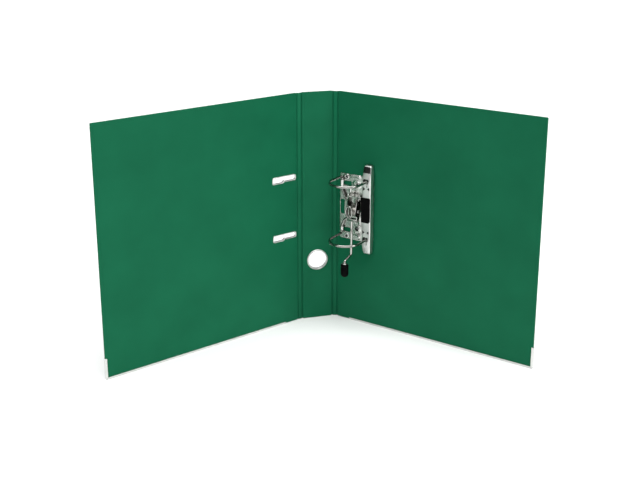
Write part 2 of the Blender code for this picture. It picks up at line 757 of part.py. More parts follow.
def make_roller(lever_axis, materials):
    centre = (LEVER_U, ROLLER_V, ROLLER_H)
    axis = moving_empty("roller_axis", lever_axis, centre)
    half, edge = CHEEK_REACH - 1.4, 0.5
    profile = [
        (1.5, -half),
        (ROLLER_RADIUS - edge, -half),
        (ROLLER_RADIUS, -half + edge),
        (ROLLER_RADIUS, half - edge),
        (ROLLER_RADIUS - edge, half),
        (1.5, half),
    ]
    turned_part("roller", profile, centre, (1, 0, 0), materials["steel"], axis, centre, sides=32)


def bar_section(half_width, wall, low, top, corner):
    """The channel's cross-section in (u, h), from its left foot over the top to its right foot."""
    w = half_width - wall
    t = top - wall
    c = max(corner - wall, 0.2)
    return [(-w, low), (-w, t - c), (-w + c, t), (w - c, t), (w, t - c), (w, low)]


def bar_block(wall, low):
    """A long block with sloping, narrower ends: the bar's outside with wall 0, its inside otherwise."""
    stations = (
        (-BAR_HALF_LENGTH, BAR_HALF_WIDTH - 1.5, 4.2),
        (-BAR_HALF_LENGTH + 3, BAR_HALF_WIDTH - 0.8, 2.0),
        (-BAR_HALF_LENGTH + 15, BAR_HALF_WIDTH, 0.0),
        (BAR_HALF_LENGTH - 15, BAR_HALF_WIDTH, 0.0),
        (BAR_HALF_LENGTH - 3, BAR_HALF_WIDTH - 0.8, 2.0),
        (BAR_HALF_LENGTH, BAR_HALF_WIDTH - 1.5, 4.2),
    )
    bm = bmesh.new()
    rings = []
    for at, half_width, drop in stations:
        inner = at - math.copysign(wall, at) if abs(at) == BAR_HALF_LENGTH else at
        section = bar_section(half_width, wall, low, BAR_TOP - drop, 1.2)
        points = [(BAR_CENTRE_U + x, MECH_CENTRE + inner, h) for x, h in section]
        rings.append([bm.verts.new(p) for p in points])
    for ring, after in zip(rings, rings[1:]):
        for k in range(len(ring)):
            n = (k + 1) % len(ring)
            bm.faces.new((ring[k], ring[n], after[n], after[k]))
    bm.faces.new(rings[0][::-1])
    bm.faces.new(rings[-1])
    return bm


def make_compressor(frame, materials):
    """The bar that holds the sheets down: a channel on both posts, with a black grip on its middle."""
    origin = (BAR_CENTRE_U, MECH_CENTRE, BAR_LOW)
    axis = moving_empty("compressor_slide_axis", frame, origin)
    bar = finish("compressor_bar", bar_block(0.0, BAR_LOW), materials["nickel"], axis, origin)
    inside = cutter("bar_inside", bar_block(BAR_WALL, BAR_LOW - 3), frame)
    boolean(bar, inside)
    post_u = RING_CENTRE + RING_RADIUS
    for name, sign in (("upper", 1), ("lower", -1)):
        v = MECH_CENTRE + sign * RING_PITCH / 2
        bm = bmesh.new()
        add_prism(bm, rounded_outline((post_u - 1.7, v), (8.2, 5.4), 2.6), BAR_TOP - 5, BAR_TOP + 5)
        boolean(bar, cutter(f"bar_post_hole_{name}", bm, frame))
        notch_low, notch_high = (post_u - 0.7, v - 7.5, BAR_TOP - 5), (post_u + 0.7, v - 4.5, BAR_TOP + 5)
        boolean(bar, box_cutter(f"bar_notch_{name}", notch_low, notch_high, frame))
        for u, point in ((BAR_CENTRE_U - 3.7, 1), (BAR_CENTRE_U + 2.9, -1)):
            bm = bmesh.new()
            arrow_v = MECH_CENTRE + sign * 30
            tip, foot = u + point * 1.7, u - point * 1.2
            arrow = [(foot, arrow_v - 1.9), (tip, arrow_v), (foot, arrow_v + 1.9)]
            add_prism(bm, arrow, BAR_TOP - 5, BAR_TOP + 5)
            boolean(bar, cutter(f"bar_arrow_{name}_{u:.0f}", bm, frame))
    make_grip(axis, frame, materials, origin)


def make_grip(axis, frame, materials, origin):
    """A moulded cover for the bar's top and its left side: its outside, less a clearance copy of the bar."""
    low_v, high_v = 148.5, 183.0
    left, right = BAR_CENTRE_U - BAR_HALF_WIDTH - 0.9, BAR_CENTRE_U + BAR_HALF_WIDTH - 0.3
    top = BAR_TOP + 1.2
    cut = 2.4
    outline = [
        (left, low_v),
        (right - cut, low_v),
        (right, low_v + cut),
        (right, high_v),
        (left, high_v),
    ]
    bm = bmesh.new()
    add_prism(bm, outline, BAR_LOW + 1.5, top)
    grip = finish("compressor_grip", bm, materials["plastic"], axis, origin)
    bm = bmesh.new()
    section = bar_section(BAR_HALF_WIDTH + 0.3, 0.0, BAR_LOW - 5, BAR_TOP + 0.3, 1.2)
    points = [(BAR_CENTRE_U + x, h) for x, h in section]
    add_prism(bm, points, low_v - 5, high_v + 5, lambda x, y, z: (x, z, y))
    boolean(grip, cutter("grip_saddle", bm, frame))
    bevel = grip.modifiers.new("soft_edges", "BEVEL")
    bevel.width = 0.2 * MM
    bevel.segments = 2
    bevel.limit_method = "ANGLE"


def main():
    clear_scene()
    materials = make_materials()
    frames = make_frames()
    make_spine(frames["spine"], materials)
    make_front_cover(frames["front"], materials)
    make_back_cover(frames["back"], materials)
    make_arches(frames["back"], materials)
    make_lever(frames["back"], materials)
    make_compressor(frames["back"], materials)


main()
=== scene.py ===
"""The looks of the lever arch file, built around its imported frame.

Pieces are modelled in millimetres on the panel that carries them, as if that panel lay flat and was seen from
inside: x runs to the right, y up the file and z out of the inner face. Places come from the frame's own nodes
and joints, and PANELS stands each panel up in the row frame.
"""
import json
import math

import bmesh
import bpy
from mathutils import Matrix, Vector

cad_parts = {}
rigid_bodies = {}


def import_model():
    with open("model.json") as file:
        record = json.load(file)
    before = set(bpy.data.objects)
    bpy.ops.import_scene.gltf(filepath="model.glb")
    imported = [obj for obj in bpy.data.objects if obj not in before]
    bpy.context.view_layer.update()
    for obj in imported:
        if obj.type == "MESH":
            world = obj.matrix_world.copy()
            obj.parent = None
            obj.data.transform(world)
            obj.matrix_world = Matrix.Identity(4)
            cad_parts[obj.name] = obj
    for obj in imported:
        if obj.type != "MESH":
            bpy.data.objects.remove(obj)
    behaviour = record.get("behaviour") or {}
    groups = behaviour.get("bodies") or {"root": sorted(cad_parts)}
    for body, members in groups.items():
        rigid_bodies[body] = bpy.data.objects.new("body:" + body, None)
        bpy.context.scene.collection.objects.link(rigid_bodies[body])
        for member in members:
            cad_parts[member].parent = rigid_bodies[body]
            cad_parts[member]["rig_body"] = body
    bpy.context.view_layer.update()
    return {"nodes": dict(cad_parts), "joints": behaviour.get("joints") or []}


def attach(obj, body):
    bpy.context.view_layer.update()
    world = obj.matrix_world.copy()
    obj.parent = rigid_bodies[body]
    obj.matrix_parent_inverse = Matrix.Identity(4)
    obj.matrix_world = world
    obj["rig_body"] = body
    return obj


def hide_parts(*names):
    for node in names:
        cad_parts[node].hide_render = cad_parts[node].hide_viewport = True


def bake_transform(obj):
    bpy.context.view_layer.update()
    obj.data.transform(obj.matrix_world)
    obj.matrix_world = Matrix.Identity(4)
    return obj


MM = 0.001

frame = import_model()
JOINTS = {joint["name"]: joint for joint in frame["joints"]}

# The gutter is the strip of bare foil between the spine and a cover, creased at both of its edges
GUTTER = 8.0
SKIN = 0.22
BOARD_EDGE_RADIUS = 0.55
TURN_IN = 14.0
LINING_BORDER = 3.5

# The pressed metal trims
SLOT_FLANGE = 1.1
FINGER_FLANGE = 2.1

# The mechanism, in the back cover's millimetres; WIRE is a radius
RING_PITCH = 80.0
RING_RADIUS = 21.0
RING_SPRING_LINE = 28.5
RING_JOINT_ANGLE = 15.0
WIRE = 1.7
PIN_BORE = 1.7
EAR_OFFSET = 8.4
CHEEK_RADIUS = 7.0
YOKE_TAIL = 148.0
ROD_X = 29.0
BAR_WALL = 0.8
RIVETS = [f"{side}_{end}" for side in ("spine_side", "leaf_side") for end in ("upper", "lower")]


# ------------------------ places in the frame


def panel_matrix(fold, side):
    """A cover's plane: its fold's axis, turned by the cover's resting angle, then half a gutter outwards."""
    angle = math.radians(JOINTS[fold]["range_deg"][1])
    turn = Matrix.Rotation(-side * angle, 4, "Z") @ Matrix.Rotation(math.radians(90), 4, "X")
    reach = GUTTER / 2 * MM
    step = Vector((side * reach * math.cos(angle / 2), 0, -reach * math.sin(angle / 2)))
    return Matrix.Translation(JOINTS[fold]["pos_m"]) @ turn @ Matrix.Translation(step)


def make_panels():
    spine_face = max(v.co.y for v in frame["nodes"]["spine_foil"].data.vertices)
    spine = Matrix.Translation((0, -spine_face, 0)) @ Matrix.Rotation(math.radians(90), 4, "X")
    return {
        "spine": spine,
        "front": panel_matrix("front_cover_fold", -1),
        "back": panel_matrix("back_cover_fold", 1),
    }


PANELS = make_panels()
BODY_PANEL = {"spine": "spine", "front_cover": "front"}


def extent(node):
    """The lowest and highest corner of a CAD node, in its panel's millimetres."""
    part = frame["nodes"][node]
    into = PANELS[BODY_PANEL.get(part["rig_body"], "back")].inverted()
    points = [into @ v.co / MM for v in part.data.vertices]
    low = Vector([min(p[i] for p in points) for i in range(3)])
    high = Vector([max(p[i] for p in points) for i in range(3)])
    return low, high


def joint_place(name):
    """Where a hinge of the mechanism is, in the back cover's millimetres."""
    return PANELS["back"].inverted() @ Vector(JOINTS[name]["pos_m"]) / MM


# ------------------------ materials


def feed(tree, made, inputs):
    """Set a shader node's inputs, each to a plain value or to another node's output."""
    for key, value in inputs.items():
        if isinstance(value, bpy.types.NodeSocket):
            tree.links.new(value, made.inputs[key])
        else:
            made.inputs[key].default_value = value


def node(tree, kind, inputs=None, **settings):
    """Add a shader node with its inputs and settings."""
    made = tree.nodes.new(kind)
    for key, value in settings.items():
        setattr(made, key, value)
    feed(tree, made, inputs or {})
    return made


def ramp(tree, factor, stops):
    """A colour ramp through (position, colour) stops; a grey stop may be a single number."""
    made = node(tree, "ShaderNodeValToRGB", {"Fac": factor})
    elements = made.color_ramp.elements
    while len(elements) < len(stops):
        elements.new(0.5)
    for element, (position, colour) in zip(elements, stops):
        element.position = position
        element.color = (*colour, 1.0) if isinstance(colour, tuple) else (colour, colour, colour, 1.0)
    return made.outputs["Color"]


def remap(tree, value, low, high, start=0.0, end=1.0):
    """Carry the stretch from start to end of a value over to low to high."""
    inputs = {"Value": value, "From Min": start, "From Max": end, "To Min": low, "To Max": high}
    return node(tree, "ShaderNodeMapRange", inputs).outputs["Result"]


def mix(tree, share, first, second):
    return node(tree, "ShaderNodeMix", {"Factor": share, "A": first, "B": second}).outputs["Result"]


def start_material(name):
    material = bpy.data.materials.new(name)
    material.use_nodes = True
    tree = material.node_tree
    shader = tree.nodes["Principled BSDF"]
    place = node(tree, "ShaderNodeTexCoord").outputs["Object"]
    return material, tree, shader, place


def noise_at(tree, place, scale, detail=2.0, roughness=0.5, stretch=None):
    if stretch:
        place = node(tree, "ShaderNodeMapping", {"Vector": place, "Scale": stretch}).outputs["Vector"]
    inputs = {"Vector": place, "Scale": scale, "Detail": detail, "Roughness": roughness}
    return node(tree, "ShaderNodeTexNoise", inputs).outputs["Fac"]


def bump(tree, shader, height, strength, distance, under=None):
    inputs = {"Height": height, "Strength": strength, "Distance": distance}
    if under:
        inputs["Normal"] = under
    made = node(tree, "ShaderNodeBump", inputs).outputs["Normal"]
    feed(tree, shader, {"Normal": made})
    return made


def foil_material():
    """Embossed green foil: a fine pebbled grain, faint cloudiness in the green and a satin gloss."""
    material, tree, shader, place = start_material("embossed_green_foil")
    cloud = noise_at(tree, place, 16, 3)
    fleck = noise_at(tree, place, 900, 2)
    dark_green, light_green = (0.0045, 0.106, 0.048), (0.007, 0.132, 0.061)
    green = ramp(tree, mix(tree, 0.3, cloud, fleck), [(0.3, dark_green), (0.7, light_green)])
    grain = node(tree, "ShaderNodeTexVoronoi", {"Vector": place, "Scale": 1250}, feature="SMOOTH_F1")
    pebbles = grain.outputs["Distance"]
    gloss = remap(tree, pebbles, 0.36, 0.5)
    feed(tree, shader, {"Base Color": green, "Roughness": gloss, "Specular IOR Level": 0.06})
    wave = bump(tree, shader, noise_at(tree, place, 30, 2), 0.12, 0.0006)
    bump(tree, shader, pebbles, 0.22, 0.00012, wave)
    return material


def metal_material(name, colour, shine, dull, stretch=(1, 1, 1)):
    """Plated metal: clouded plating, fine drawing lines along the stretch and a hint of ripple."""
    material, tree, shader, place = start_material(name)
    cloud = noise_at(tree, place, 120, 3)
    darker = tuple(c * 0.86 for c in colour)
    plating = ramp(tree, cloud, [(0.3, darker), (0.65, colour)])
    lines = noise_at(tree, place, 1800, 2, 0.6, stretch)
    gloss = remap(tree, mix(tree, 0.5, cloud, lines), shine, dull, 0.3, 0.7)
    feed(tree, shader, {"Base Color": plating, "Metallic": 1.0, "Roughness": gloss})
    ripple = bump(tree, shader, noise_at(tree, place, 220, 2), 0.1, 0.0002)
    bump(tree, shader, lines, 0.05, 0.00004, ripple)
    return material


def plastic_material(name, colour, roughness, grain):
    """Moulded plastic with an eroded grain."""
    material, tree, shader, place = start_material(name)
    fine = noise_at(tree, place, 1500, 3, 0.7)
    darker, lighter = (tuple(c * share for c in colour) for share in (0.7, 1.5))
    mottled = ramp(tree, fine, [(0.35, darker), (0.7, lighter)])
    gloss = remap(tree, fine, roughness - 0.08, roughness + 0.12)
    feed(tree, shader, {"Base Color": mottled, "Roughness": gloss, "Specular IOR Level": 0.04})
    bump(tree, shader, fine, grain, 0.0001)
    return material


def fibre_material(name, light, dark, roughness, strength):
    """Paper or grey board: short fibres over a soft cloudiness."""
    material, tree, shader, place = start_material(name)
    fibres = noise_at(tree, place, 900, 4, 0.7, (1, 0.35, 1))
    cloud = noise_at(tree, place, 60, 2)
    colour = ramp(tree, mix(tree, 0.6, cloud, fibres), [(0.35, dark), (0.65, light)])
    feed(tree, shader, {"Base Color": colour, "Roughness": roughness})
    bump(tree, shader, fibres, strength, 0.0001)
    return material


def pocket_material():
    """Clear film with the faint ripple of a heat seal."""
    material, tree, shader, place = start_material("clear_film")
    feed(tree, shader, {"Base Color": (0.9, 0.93, 0.92, 1.0), "Alpha": 0.22, "Roughness": 0.12})
    bump(tree, shader, noise_at(tree, place, 45, 2), 0.2, 0.0005)
    return material


def make_materials():
    along = (1, 0.04, 1)
    return {
        "green_foil": foil_material(),
        "grey_board": fibre_material("grey_board_core", (0.46, 0.43, 0.38), (0.33, 0.3, 0.26), 0.92, 0.5),
        "bright_trim": metal_material("bright_nickel_trim", (0.72, 0.73, 0.71), 0.28, 0.42, along),
        "nickel_plate": metal_material("pressed_nickel_plate", (0.68, 0.69, 0.66), 0.18, 0.32, along),
        "polished_wire": metal_material("polished_nickel_wire", (0.5, 0.5, 0.475), 0.07, 0.14),
        "drawn_wire": metal_material("drawn_nickel_wire", (0.33, 0.33, 0.31), 0.1, 0.2),
        # painted shade and painted dark reflection: a dark metal put only on chosen faces of the rivets and
        # the compressor bar
        "dark_steel": metal_material("painted_shade_and_reflection_metal", (0.06, 0.06, 0.06), 0.2, 0.36),
        "drum_steel": metal_material("turned_drum_steel", (0.24, 0.23, 0.21), 0.2, 0.34),
        "black_plastic": plastic_material("moulded_black_plastic", (0.002, 0.002, 0.0021), 0.42, 0.35),
        "label_paper": fibre_material("label_paper", (0.86, 0.86, 0.83), (0.8, 0.8, 0.77), 0.8, 0.12),
        "label_pocket": pocket_material(),
    }


MATERIALS = make_materials()


# ------------------------ mesh tools


def raw(name, bm, panel="back"):
    """An object from a bmesh in a panel's millimetres, standing where the panel does."""
    bmesh.ops.remove_doubles(bm, verts=bm.verts, dist=1e-4)
    bmesh.ops.recalc_face_normals(bm, faces=bm.faces)
    bmesh.ops.scale(bm, verts=bm.verts, vec=(MM, MM, MM))
    mesh = bpy.data.meshes.new(name)
    bm.to_mesh(mesh)
    bm.free()
    part = bpy.data.objects.new(name, mesh)
    bpy.context.collection.objects.link(part)
    part.matrix_world = PANELS[panel]
    return part


def carve(part, tools, operation="DIFFERENCE"):
    """Cut tools out of a part, or join them to it, and remove them."""
    for tool in tools:
        step = part.modifiers.new(tool.name, "BOOLEAN")
        step.operation = operation
        step.object = tool
    bpy.context.view_layer.update()
    shape = part.evaluated_get(bpy.context.evaluated_depsgraph_get())
    mesh = bpy.data.meshes.new_from_object(shape)
    part.modifiers.clear()
    part.data = mesh
    for tool in tools:
        bpy.data.objects.remove(tool)


def dress(part, slot, nodes, smooth):
    """Give a part its material and shading, and let it stand for its CAD nodes."""
    part.data.materials.clear()
    part.data.materials.append(MATERIALS[slot])
    part.data.shade_smooth()
    part.data.set_sharp_from_angle(angle=math.radians(smooth))
    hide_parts(*nodes)


def mount(part, slot, nodes, smooth):
    """Dress a part and let it ride on its CAD nodes' body."""
    dress(part, slot, nodes, smooth)
    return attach(part, frame["nodes"][nodes[0]]["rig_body"])


def piece(name, bm, slot, nodes, smooth=40, tools=(), panel="back"):
    """A finished piece from a bmesh, less its cutting tools."""
    part = raw(name, bm, panel)
    if tools:
        carve(part, tools)
    return mount(part, slot, nodes, smooth)


def paint_shade_and_reflection(part, chosen):
    """Paint faces of a part dark where chosen says so from their centre and direction: painted shade and
    painted dark reflection, in a second, dark metal material.
    """
    if len(part.data.materials) == 1:
        part.data.materials.append(MATERIALS["dark_steel"])
    for face in part.data.polygons:
        if chosen(face.center / MM, face.normal):
            face.material_index = 1


def bridge(bm, rings, closed=True):
    """Faces between rings of vertices, one ring after another."""
    for ring, after in zip(rings, rings[1:]):
        count = len(ring) if closed else len(ring) - 1
        for k in range(count):
            n = (k + 1) % len(ring)
            bm.faces.new((ring[k], ring[n], after[n], after[k]))


def shell(bm, rings):
    """Faces between rings of vertices, and over the first and the last one."""
    bridge(bm, rings)
    bm.faces.new(rings[0][::-1])
    bm.faces.new(rings[-1])


def arc(centre, radius, degrees):
    """Points of a circle at the given degrees."""
    turns = [math.radians(d) for d in degrees]
    return [(centre[0] + radius * math.cos(a), centre[1] + radius * math.sin(a)) for a in turns]


def rounded_outline(low, high, radius, inset=0.0, steps=6):
    """A rectangle with round corners, anticlockwise, set in from its edges."""
    radius = max(radius - inset, 0.02)
    outline = []
    for sx, sy, start in ((1, 1, 0), (-1, 1, 90), (-1, -1, 180), (1, -1, 270)):
        x = (high[0] if sx > 0 else low[0]) - sx * (inset + radius)
        y = (high[1] if sy > 0 else low[1]) - sy * (inset + radius)
        outline += arc((x, y), radius, [start + 90 * i / steps for i in range(steps + 1)])
    return outline


def quarter(inset, height, radius, rising, outwards, steps=3):
    """(inset, height) points of a quarter-round edge that ends or starts at a face."""
    points = []
    for i in range(steps + 1):
        a = math.radians(90 * i / steps)
        across, along = 1 - math.cos(a), 1 - math.sin(a)
        if outwards:
            across, along = along, across
        points.append((inset + radius * across, height + (radius if rising else -radius) * along))
    return points


def slab_profile(low, high, radius_low, radius_high):
    """The edge of a slab from its lower face to its upper one, with a support ring on each face."""
    profile = [(radius_low + 0.3, low)]
    profile += quarter(0, low, radius_low, True, True)
    profile += quarter(0, high, radius_high, False, False)
    return profile + [(radius_high + 0.3, high)]


def add_slab(bm, outline, profile):
    """A closed slab: one ring of outline(inset) at each (inset, height), with both ends filled."""
    shell(bm, [[bm.verts.new((x, y, height)) for x, y in outline(inset)] for inset, height in profile])


def slab(low, high, radius, profile):
    """A bmesh of one slab with round corners."""
    bm = bmesh.new()
    add_slab(bm, lambda inset: rounded_outline(low, high, radius, inset), profile)
    return bm


def upright(x, y, z):
    """The place of a point of a prism whose outline lies in the panel and which runs out of it."""
    return x, y, z


def sideways(x, y, z):
    """The place of a point of a prism whose outline is in (y, z) and which runs along x."""
    return z, x, y


def prism(outline, low, high, place=upright):
    """A bmesh of a flat outline carried from low to high."""
    bm = bmesh.new()
    shell(bm, [[bm.verts.new(place(x, y, z)) for x, y in outline] for z in (low, high)])
    return bm


def prism_tool(name, outline, low, high, place=upright, panel="back"):
    return raw(name, prism(outline, low, high, place), panel)


def flared_tool(name, low, high, radius, bottom, top, flare):
    """A cutter for a window whose upper rim rolls outwards."""
    under, soft = 0.6 * flare, 0.3 * flare
    profile = [(-under, bottom - 4), (-under, bottom), (0, bottom + under), (0, top - flare)]
    profile += [(-soft, top - soft), (-flare, top), (-flare, top + 6)]
    return raw(name, slab(low, high, radius, profile))


def sweep(bm, path, section, closed, shear=0.0):
    """Carry a closed (inset, height) section round a flat path; insets go to the path's left."""
    count = len(path)
    points = [Vector(p) for p in path]
    rings = []
    for i, point in enumerate(points):
        before = points[i - 1] if closed or i else point
        after = points[(i + 1) % count] if closed or i < count - 1 else point
        into = (point - before).normalized() if before != point else (after - point).normalized()
        out = (after - point).normalized() if after != point else into
        along = (into + out).normalized()
        left = Vector((-along.y, along.x)) / max(along.dot(into), 0.3)
        lean = Vector((0, 0)) if closed or 0 < i < count - 1 else along * shear * (1 if i else -1)
        ring = [(*(point + left * inset + lean * inset), height) for inset, height in section]
        rings.append([bm.verts.new(corner) for corner in ring])
    if closed:
        bridge(bm, rings + rings[:1])
    else:
        shell(bm, rings)


def turned(profile, centre, axis, sides):
    """A bmesh of a closed (radius, height) profile turned about an axis; radius 0 closes on the axis."""
    bm = bmesh.new()
    turn = Vector((0, 0, 1)).rotation_difference(Vector(axis)).to_matrix()
    rings = []
    for radius, height in profile:
        steps = [2 * math.pi * i / sides for i in range(sides)] if radius > 1e-6 else [0.0]
        points = [Vector((radius * math.cos(a), radius * math.sin(a), height)) for a in steps]
        rings.append([bm.verts.new(Vector(centre) + turn @ p) for p in points])
    for ring, after in zip(rings, rings[1:] + rings[:1]):
        if len(ring) == 1 and len(after) == 1:
            continue
        for i in range(sides):
            j = (i + 1) % sides
            corners = [ring[i % len(ring)], ring[j % len(ring)], after[j % len(after)], after[i % len(after)]]
            bm.faces.new(list(dict.fromkeys(corners)))
    return bm


def bore_tool(name, centre, radius, reach, axis=(0, 0, 1), panel="back", sides=40):
    """A round cutter that reaches as far both ways from its centre."""
    profile = [(0, -reach), (radius, -reach), (radius, reach), (0, reach)]
    return raw(name, turned(profile, centre, axis, sides), panel)


def round_corners(profile, radius, steps=3):
    """A closed profile with each of its corners rounded, as far as its edges allow."""
    points = [Vector(p) for p in profile]
    rounded = []
    for i, point in enumerate(points):
        before, after = points[i - 1] - point, points[(i + 1) % len(points)] - point
        if point.x < 1e-6 or min(before.length, after.length) < 1e-6:
            rounded.append(point)
            continue
        reach = min(radius, before.length * 0.45, after.length * 0.45)
        start, end = point + before.normalized() * reach, point + after.normalized() * reach
        for k in range(steps + 1):
            t = k / steps
            rounded.append((1 - t) ** 2 * start + 2 * t * (1 - t) * point + t * t * end)
    return [tuple(p) for p in rounded]


def filleted_path(corners, radii, steps=10):
    """A polyline through corners in space, each inner corner rounded with its own bend radius."""
    corners = [Vector(c) for c in corners]
    path = [corners[0]]
    for i, radius in enumerate(radii, start=1):
        before = (corners[i - 1] - corners[i]).normalized()
        after = (corners[i + 1] - corners[i]).normalized()
        half = before.angle(after) / 2
        centre = corners[i] + (before + after).normalized() * (radius / math.sin(half))
        reach = radius / math.tan(half)
        start, end = corners[i] + before * reach - centre, corners[i] + after * reach - centre
        sweep_angle = start.angle(end)
        for k in range(steps + 1):
            t = k / steps
            mixed = math.sin((1 - t) * sweep_angle) * start + math.sin(t * sweep_angle) * end
            path.append(centre + mixed / math.sin(sweep_angle))
    path.append(corners[-1])
    return path


def add_tube(bm, path, radii, sides=24):
    """Sweep a circle along a path, with one radius for each point and flat ends."""
    tangents = []
    for i in range(len(path)):
        a, b = path[max(i - 1, 0)], path[min(i + 1, len(path) - 1)]
        tangents.append((b - a).normalized())
    side = tangents[0].orthogonal().normalized()
    rings = []
    for i, (point, tangent, radius) in enumerate(zip(path, tangents, radii)):
        if i:
            side = tangents[i - 1].rotation_difference(tangent) @ side
        side = (side - tangent * side.dot(tangent)).normalized()
        up = tangent.cross(side)
        circle = arc((0, 0), radius, [360 * k / sides for k in range(sides)])
        rings.append([bm.verts.new(point + a * side + b * up) for a, b in circle])
    shell(bm, rings)


# ------------------------ panels


def foil_profile(top, bottom):
    """A wrapped foil: from its inner floor round the turned-in border to its outer face."""
    radius = BOARD_EDGE_RADIUS
    inner = radius - SKIN
    profile = [(radius + 0.4, bottom + SKIN)]
    profile += quarter(SKIN, bottom + SKIN, inner, True, True)
    profile += quarter(SKIN, top - SKIN, inner, False, False)
    profile += [(TURN_IN, top - SKIN), (TURN_IN, top), (radius + 0.4, top)]
    profile += quarter(0, top, radius, False, False)[::-1]
    profile += quarter(0, bottom, radius, True, True)[::-1]
    return profile + [(radius + 0.4, bottom)]


def make_panel_skins(name, panel, tools):
    """The outer foil wrapped round a panel's board, and the lining sheet laid on its turned-in border."""
    low, high = extent(f"{name}_foil")
    tuck = 0.12
    foil = slab(low, high, 1.2, foil_profile(high.z - tuck, low.z))
    piece(f"{name}_wrap", foil, "green_foil", [f"{name}_foil"], tools=tools(), panel=panel)
    border = Vector((LINING_BORDER, LINING_BORDER))
    profile = slab_profile(high.z - tuck + 0.01, high.z + 0.06, 0.02, 0.12)
    sheet = slab(low.xy + border, high.xy - border, 2.0, profile)
    piece(f"{name}_inner_sheet", sheet, "green_foil", [f"{name}_lining"], tools=tools(), panel=panel)


def crease_stations(crease, along, after):
    """(point, direction, upper depth, lower depth) over a crease, from the flat before it into the gutter."""
    before = [(2.4, 0.7, 2.0), (0.9, 0.85, 2.1), (0.1, 1.25, 2.05)]
    inside = [(0.5, 1.5, 2.05), (1.1, 1.3, 1.9), (1.8, 0.5, 1.5), (3.0, 0.25, 1.36)]
    stations = [(crease - along * reach, along, upper, lower) for reach, upper, lower in before]
    return stations + [(crease + after * reach, after, upper, lower) for reach, upper, lower in inside]


def make_hinge(name, side):
    """The foil that crosses a fold: two creases with a flat band between them."""
    low, high = extent(f"{name}_hinge_strip")
    half = math.radians(JOINTS[f"{name}_cover_fold"]["range_deg"][1] / 2)
    _, spine_high = extent("spine_foil")
    crease = Vector((side * spine_high.x, 0))
    spine, gutter, cover = (Vector((side * math.cos(a), math.sin(a))) for a in (0, half, 2 * half))
    far = crease + gutter * GUTTER
    stations = crease_stations(crease, spine, gutter)
    for point, along, upper, lower in crease_stations(far, -cover, -gutter)[::-1]:
        stations.append((point, -along, upper, lower))
    inner, outer = [], []
    for point, along, upper, lower in stations:
        inward = Vector((-along.y, along.x)) * side
        inner.append(point - inward * upper)
        outer.append(point - inward * lower)
    loop = smooth_line(inner) + smooth_line(outer[::-1])
    middle = smooth_line([(a + b) / 2 for a, b in zip(inner, outer)])
    middle = middle + middle[::-1]
    ends = ((0, 0.4), (0.1, 0.75), (0.35, 1.0))
    heights = [(low.y + rise, share) for rise, share in ends]
    heights += [(high.y - rise, share) for rise, share in ends[::-1]]
    bm = bmesh.new()
    rings = []
    for height, share in heights:
        ring = [m.lerp(p, share) for p, m in zip(loop, middle)]
        rings.append([bm.verts.new((p.x, height, p.y)) for p in ring])
    shell(bm, rings)
    part = raw(f"{name}_hinge_foil", bm, "spine")
    dress(part, "green_foil", [f"{name}_hinge_strip"], smooth=60)
    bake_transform(part)


def smooth_line(points, steps=3):
    """A smooth curve through points (Catmull-Rom), with steps points for each stretch."""
    line = []
    for i in range(len(points) - 1):
        p0, p1, p2 = points[max(i - 1, 0)], points[i], points[i + 1]
        p3 = points[min(i + 2, len(points) - 1)]
        squared, cubed = 2 * p0 - 5 * p1 + 4 * p2 - p3, 3 * p1 - p0 - 3 * p2 + p3
        for k in range(steps):
            t = k / steps
            line.append(0.5 * (2 * p1 + (p2 - p0) * t + squared * t * t + cubed * t ** 3))
    line.append(points[-1])
    return line


def make_protector(name, side, panel):
    """A channel of bright sheet with a rolled lip, along the lower edge and up the outer corner."""
    low, high = extent(f"{name}_edge_protector")
    start, outer = sorted((low.x, high.x), key=abs)
    corner = 0.8
    bend = [math.radians(a) for a in (0, 22, 45, 67, 90)]
    path = [(start, low.y)]
    path += [(outer - side * corner * (1 - math.sin(a)), low.y + corner * (1 - math.cos(a))) for a in bend]
    path.append((outer, high.y))
    lip, wall = 2.6, 0.4
    section = [(0, low.z + wall), (0, high.z - wall), (wall, high.z), (lip, high.z), (lip, high.z - wall)]
    section += [(wall, high.z - wall), (wall, low.z + wall), (lip, low.z + wall), (lip, low.z), (wall, low.z)]
    section = round_corners([(a + 1.0, b) for a, b in section], 0.3)
    section = [(side * (a - 1.0), b) for a, b in section]
    bm = bmesh.new()
    sweep(bm, path, section, closed=False, shear=0.25)
    piece(f"{name}_corner_channel", bm, "bright_trim", [f"{name}_edge_protector"], panel=panel)


def slot_outline(centre, length, height, grow=0.0):
    """The slot's opening: deeper in its outer half, with a small tooth where its lower edge steps up."""
    cx, cy = centre
    half, top = length / 2 + grow, height / 2 + grow
    step, corner = 1.3, 1.9 + grow
    outline = []
    for sx, sy, start, lift in ((1, 1, 0, 0), (-1, 1, 90, 0), (-1, -1, 180, 0), (1, -1, 270, step)):
        radius = corner - (lift and 0.4)
        x, y = cx + sx * (half - radius), cy + sy * (top - radius) + lift
        outline += arc((x, y), radius, [start + 15 * i for i in range(7)])
        if (sx, sy) == (-1, -1):
            low = cy - top
            tooth = ((-3.4, 0.0), (-2.2, 0.25), (-0.4, 1.9), (0.5, 2.5), (1.4, 2.3), (2.4, 1.5), (3.4, step))
            outline += [(cx + dx, low + dy) for dx, dy in tooth]
    return outline


def slot_path(low, high, grow=0.0):
    """The slot's opening inside its eyelet's flange, from the eyelet's corners."""
    room = (high - low).xy - Vector((2, 2)) * SLOT_FLANGE
    return slot_outline((low + high).xy / 2, room.x, room.y, grow)


